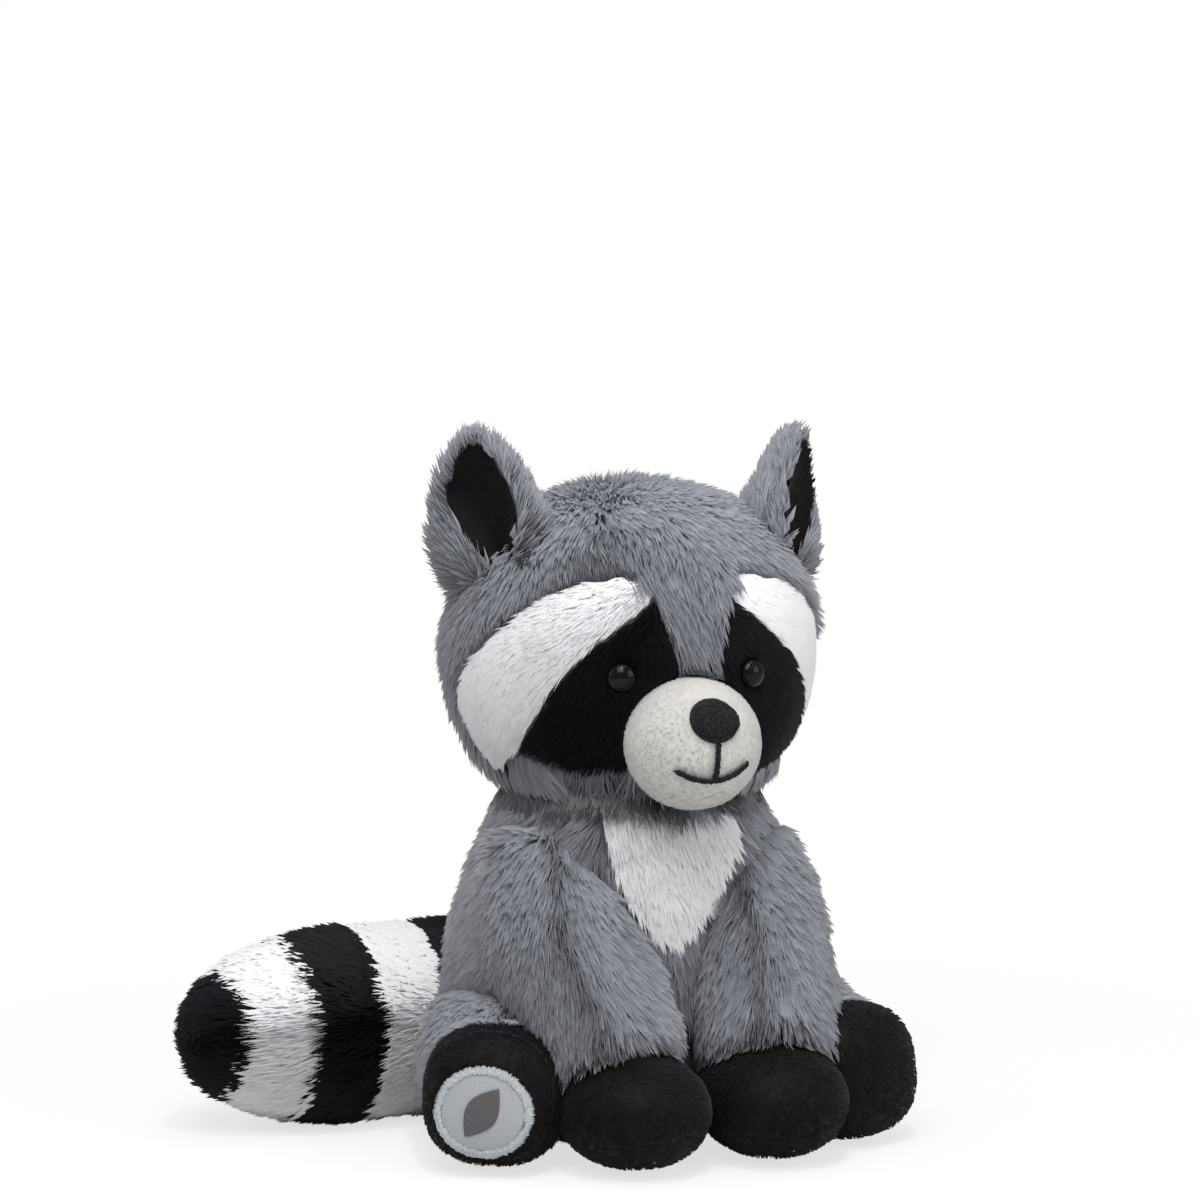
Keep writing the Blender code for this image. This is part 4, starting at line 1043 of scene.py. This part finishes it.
for side_name, side in sides:
    arm = arms[side]
    sleeve = shaped("arm_" + side_name + "_plush", 64, 44,
                    lambda unit: pressed_on_floor(arm.points(unit, -long_pile_depth)))
    keep_faces(sleeve, lambda p: (above_body(p) > -0.007) & (above_hand(p, side) > -0.007))
    hand_clear = (lambda p: above_hand(p, side), lambda p: hand_centre * (side, 1, 1), 0.0008)

    def to_the_hand(places):
        index = arm.nearest(places)[1]
        inner = np.clip((arm.line[index, 0] - places[:, 0]) * side / 0.01, -1, 1)
        sideways = np.where(inner > 0, -0.55, -0.3) * inner * side
        return arm.along[index] + np.column_stack((sideways, 0 * inner - 0.1, 0 * inner - 0.3))

    sleeve_pile = Pile(1.8, 0.0138, 0.00042, to_the_hand, clump=0.33, clump_share=0.16,
                       growing=lambda p: (above_body(p) > -0.003) & (above_hand(p, side) > -0.001),
                       clear_of=(hand_clear, under_head), seed=61 + side)
    sewn_on(sleeve, sleeve_pile, grey_plush, "arm_cover_" + side_name)

    for part in ("upper", "sole"):
        tuck = seam_tuck if part == "sole" else 0
        hand = shaped("hand_" + part + "_" + side_name + "_pile", 60, 40,
                      lambda unit: hand_points(unit, side, -short_pile_depth - tuck / 3))
        if side < 0:
            hand.data.flip_normals()
        short_piled(hand, lambda p: ((p[:, 2] > hand_seam(p) + tuck) == (part == "upper"))
                    & (arm.above(p) > -0.010), to_the_hand,
                    lambda p: (arm.above(p) > -0.004) & (p[:, 2] > 0.002), 65 + side,
                    "hand_" + part + "_" + side_name)

# Legs: short stuffed haunches of grey plush, spread to the front, with round black feet of short pile.
# A foot is an upper and a sole sewn round the toe, so the soles face forward.


def foot_turn(side):
    return np.array(Euler((0, 0, math.radians(side * (foot_spread[side] + 6)))).to_matrix()
                    @ Euler((math.radians(-9), 0, 0)).to_matrix())


def foot_points(unit, side, grow):
    local = ball_points(unit, 0, foot_half, grow, 2.5)
    local = np.column_stack((local[:, 0], -local[:, 2], local[:, 1]))
    return pressed_on_floor(local @ foot_turn(side).T + foot_middle(side), 0.0006)


def foot_local(places, side):
    return (places - foot_middle(side)) @ foot_turn(side)


def above_foot(places, side):
    local = foot_local(places, side)
    return above_ball(np.column_stack((local[:, 0], local[:, 2], -local[:, 1])), 0, foot_half, 2.5)


foot_seam = -0.011           # before the foot's middle
badge_half = (0.0180, 0.0163)
badge_drop = 0.0052          # of its middle below the sole's


def under_badge(places, side):
    local = foot_local(places, side)
    inside = (local[:, 0] / badge_half[0]) ** 2 + ((local[:, 2] + badge_drop) / badge_half[1]) ** 2 < 1
    return inside & (local[:, 1] < 0) & (side < 0)


for side_name, side in sides:
    leg = legs[side]
    haunch = shaped("leg_" + side_name + "_plush", 64, 40,
                    lambda unit: pressed_on_floor(leg.points(unit, -long_pile_depth)))

    def free(places, deep):
        """Where the leg isn't pressed against the body, the hand or the arm."""
        return ((above_body(places) > -deep) & (above_hand(places, side) > -deep)
                & (arms[side].above(places) > -deep))

    keep_faces(haunch, lambda p: free(p, 0.007) & (above_foot(p, side) > -0.007))
    foot_clear = (lambda p: above_foot(p, side), lambda p: foot_middle(side), 0.0008)

    def down_the_leg(places):
        return leg.along[leg.nearest(places)[1]] * 0.8 + (side * 0.25, 0.1, -0.7)

    haunch_pile = Pile(1.5, 0.0110, 0.00042, down_the_leg, lean=0.64,
                       growing=lambda p: free(p, 0.002) & (above_foot(p, side) > -0.002) & (p[:, 2] > 0.003),
                       clear_of=(foot_clear,), seed=71 + side)
    sewn_on(haunch, haunch_pile, grey_plush, "leg_cover_" + side_name)

    for part in ("upper", "sole"):
        tuck = seam_tuck if part == "upper" else 0
        foot = shaped("foot_" + part + "_" + side_name + "_pile", 60, 40,
                      lambda unit: foot_points(unit, side, -short_pile_depth - tuck / 3))
        short_piled(foot, lambda p: ((foot_local(p, side)[:, 1] > foot_seam - tuck) == (part == "upper"))
                    & free(p, 0.006) & (leg.above(p) > -0.006), down_the_leg,
                    lambda p: free(p, 0.003) & (leg.above(p) > -0.003) & (p[:, 2] > 0.002)
                    & ~under_badge(p, side), 75 + side, "foot_" + part + "_" + side_name)

# Badge: an oval of silver cloth on the right sole, edged in satin stitch, with a dark leaf sewn on.

badge_border = 0.0035        # width of the stitched edge
border_height = 0.0016
border_stitches = 150
border_slant = 0.035         # radians that each stitch runs on round the edge
leaf_half = (0.00575, 0.0105)
leaf_angle = math.radians(35)


def on_sole(across, up, lift):
    """Places on the right foot's sole, measured from the badge's middle and lifted off the surface."""
    half = foot_half[[0, 2, 1]] + np.broadcast_to(lift, np.shape(across))[:, None]
    up = up - badge_drop
    deep = 1 - np.abs(across / half[:, 0]) ** 2.5 - np.abs(up / half[:, 2]) ** 2.5
    local = np.column_stack((across, -half[:, 1] * np.maximum(deep, 0) ** 0.4, up))
    return local @ foot_turn(-1).T + foot_middle(-1)


def cloth_finish(name, dark, light, roughness, sheen, weave=2600):
    """Plain woven cloth: two crossed sets of fine ridges, a little uneven in tone."""
    made = Finish(name, roughness, Sheen_Weight=sheen, Specular_IOR_Level=0.3)
    place = made.place()
    made.colour(made.mix(made.noise(place, 900, 3.0), dark, light))
    ridges = [made.node("ShaderNodeTexWave", {"bands_direction": way},
                        {"Vector": place, "Scale": weave / 6.28}) for way in ("X", "Z")]
    made.bump(ridges[0] + ridges[1], 0.00012, 0.5)
    return made.material


badge_cloth = cloth_finish("badge_cloth", (0.27, 0.28, 0.30), (0.33, 0.34, 0.36), 0.55, 0.2)
badge_dark = cloth_finish("badge_dark", (0.060, 0.055, 0.058), (0.095, 0.088, 0.092), 0.8, 0.1)
badge_thread = thread_finish("badge_thread", (0.34, 0.365, 0.385), (0.47, 0.50, 0.52), 0.42, 0.15)
inner_half = [half - badge_border + 0.0006 for half in badge_half]
cloth = pad("badge_cloth", *inner_half, on_sole, -0.0010, 0.0019, 6.0)
finished(cloth, badge_cloth, "sole_badge")
border = []
for turn in np.arange(0, 2 * math.pi, 2 * math.pi / border_stitches):
    ins, out = rng.uniform(-0.00035, 0.00035, 2)
    slant = turn + border_slant
    border.append(stitch(on_sole, (badge_half[0] - badge_border + ins) * math.cos(turn),
                         (badge_half[1] - badge_border + ins) * math.sin(turn),
                         (badge_half[0] + out) * math.cos(slant), (badge_half[1] + out) * math.sin(slant),
                         border_height - 0.0003, -0.0010))
finished(threads("badge_border", border, 0.00042), badge_thread, "sole_badge_border")
leaf = pad("badge_leaf", *leaf_half, on_sole, 0.0006, 0.0009, 6.0, turn=leaf_angle, leaf=True)
finished(leaf, badge_dark, "sole_badge_leaf")

# Tail: a stuffed sleeve of black and white plush bands sewn end to end, lying round to the toy's right.

tail_radius, tail_root_radius = 0.036, 0.026
tail_swell, tail_rounding = 0.055, 0.064
tail_root, tail_tip = np.array((0.002, 0.042, tail_radius)), np.array((-0.1625, 0.038, tail_radius))
tail_swing = np.array((0, 0.008, 0))
tail_cap, tail_cap_share = 0.0115, 0.04      # the blunt end by the body
tail_pile_depth = 0.0042
tail_reach = np.linalg.norm(tail_tip - tail_root)
tail = Limb([(tail_root, 0), (tail_root + (-0.20 * tail_reach, 0, 0) + tail_swing, 0),
             (tail_root + (tail_tip - tail_root) * 0.62 + tail_swing * 0.75, 0), (tail_tip, 0)], 97)
tail_far = np.concatenate(((0,), np.cumsum(np.linalg.norm(np.diff(tail.line, axis=0), axis=1))))
tail_length = tail_far[-1]


def tail_girth(distance):
    """Radius of the tail at a distance from its root: it swells out of the body and rounds off at the tip."""
    swell = np.clip(distance / tail_swell, 0, 1)
    radius = tail_root_radius + (tail_radius - tail_root_radius) * swell * swell * (3 - 2 * swell)
    past = np.maximum(distance - (tail_length - tail_rounding), 0) / tail_rounding
    return radius * np.sqrt(np.maximum(1 - past ** 2, 0))


tail.radius = tail_girth(tail_far)
tail_bands = (0.0210, 0.0239, 0.0258, 0.0252, 0.0241)    # lengths, from the tip
tail_seams = [tail_length, tail_length - tail_bands[0]]
for band_length in tail_bands[1:]:
    tail_seams.append(tail_seams[-1] - band_length)
tail_seams.append(-1.0)


def tail_points(unit, grow):
    """Lays a unit ball along the tail, its rings closer together towards the rounded tip."""
    share = np.arccos(np.clip(-unit[:, 2], -1, 1)) / math.pi
    distance = (tail_length + grow) * np.sin(share * math.pi / 2)
    turn = np.arctan2(unit[:, 1], unit[:, 0])
    real = np.minimum(distance, tail_length)
    girth = tail_girth(distance * tail_length / (tail_length + grow))
    radius = np.maximum(girth * (1 + grow / tail_radius), 0)
    rounding = np.minimum(share / tail_cap_share, 1)
    radius *= rounding

    def at(values):
        return np.column_stack([np.interp(real, tail_far, values[:, k]) for k in range(3)])

    across, up = unit_length(at(tail.side)), unit_length(at(tail.up))
    around = across * np.cos(turn)[:, None] - up * np.sin(turn)[:, None]
    bulge = tail_cap * np.sqrt(1 - rounding ** 4)[:, None] * tail.along[0]
    return pressed_on_floor(at(tail.line) - bulge + around * radius[:, None])


def beside(places):
    """Which point of the tail's line each place is next to."""
    return np.linalg.norm(places[:, None] - tail.line[None], axis=2).argmin(1)


def to_the_tip(places):
    return tail.along[beside(places)]


def tail_free(places, deep):
    return (above_body(places) > -deep) & (legs[-1].above(places) > -deep)


tail_names = ("tail_tip", "tail_band_1", "tail_band_2", "tail_band_3", "tail_band_4", "tail_root")
for k, node in enumerate(tail_names):
    dark = k % 2 == 0
    tuck = 0 if dark else 0.0012     # the white bands reach in under the black ones
    band = shaped(node + "_plush", 60, 110, lambda unit: tail_points(unit, -tail_pile_depth - tuck / 4))
    high, low = tail_seams[k] + tuck, tail_seams[k + 1] - tuck
    keep_faces(band, lambda p: (tail_far[beside(p)] > low) & (tail_far[beside(p)] <= high)
               & tail_free(p, 0.012), 3)
    band_pile = Pile(1.2, 0.0092, 0.00046, to_the_tip, lean=0.57, swirl=0.20, clump=0.2,
                     tilt=0.4 if dark else 0.2,
                     growing=lambda p: tail_free(p, 0.009) & (p[:, 2] > 0.0025), seed=81 + k)
    sewn_on(band, band_pile, black_plush if dark else white_plush,
            node)

# Hidden inside: polyester filling in every part, and the washers that lock the eyes' shanks.

filling = Finish("stuffing", 1.0, Sheen_Weight=0.3)
filling.colour(filling.mix(filling.noise(filling.place(), 300, 6.0), (0.78, 0.78, 0.77), (0.90, 0.90, 0.89)))
filling.bump(filling.noise(filling.place(), 700, 6.0), 0.0006, 0.6)
washer_plastic = Finish("washer_plastic", 0.45)
washer_plastic.colour(washer_plastic.mix(washer_plastic.noise(washer_plastic.place(), 200),
                                         (0.72, 0.72, 0.70), (0.78, 0.78, 0.76)))
for piece in bpy.data.objects:
    if "_stuffing" in piece.name or piece.name.startswith("eye_washer"):
        hidden = washer_plastic if "washer" in piece.name else filling
        piece.data.materials.clear()
        piece.data.materials.append(hidden.material)
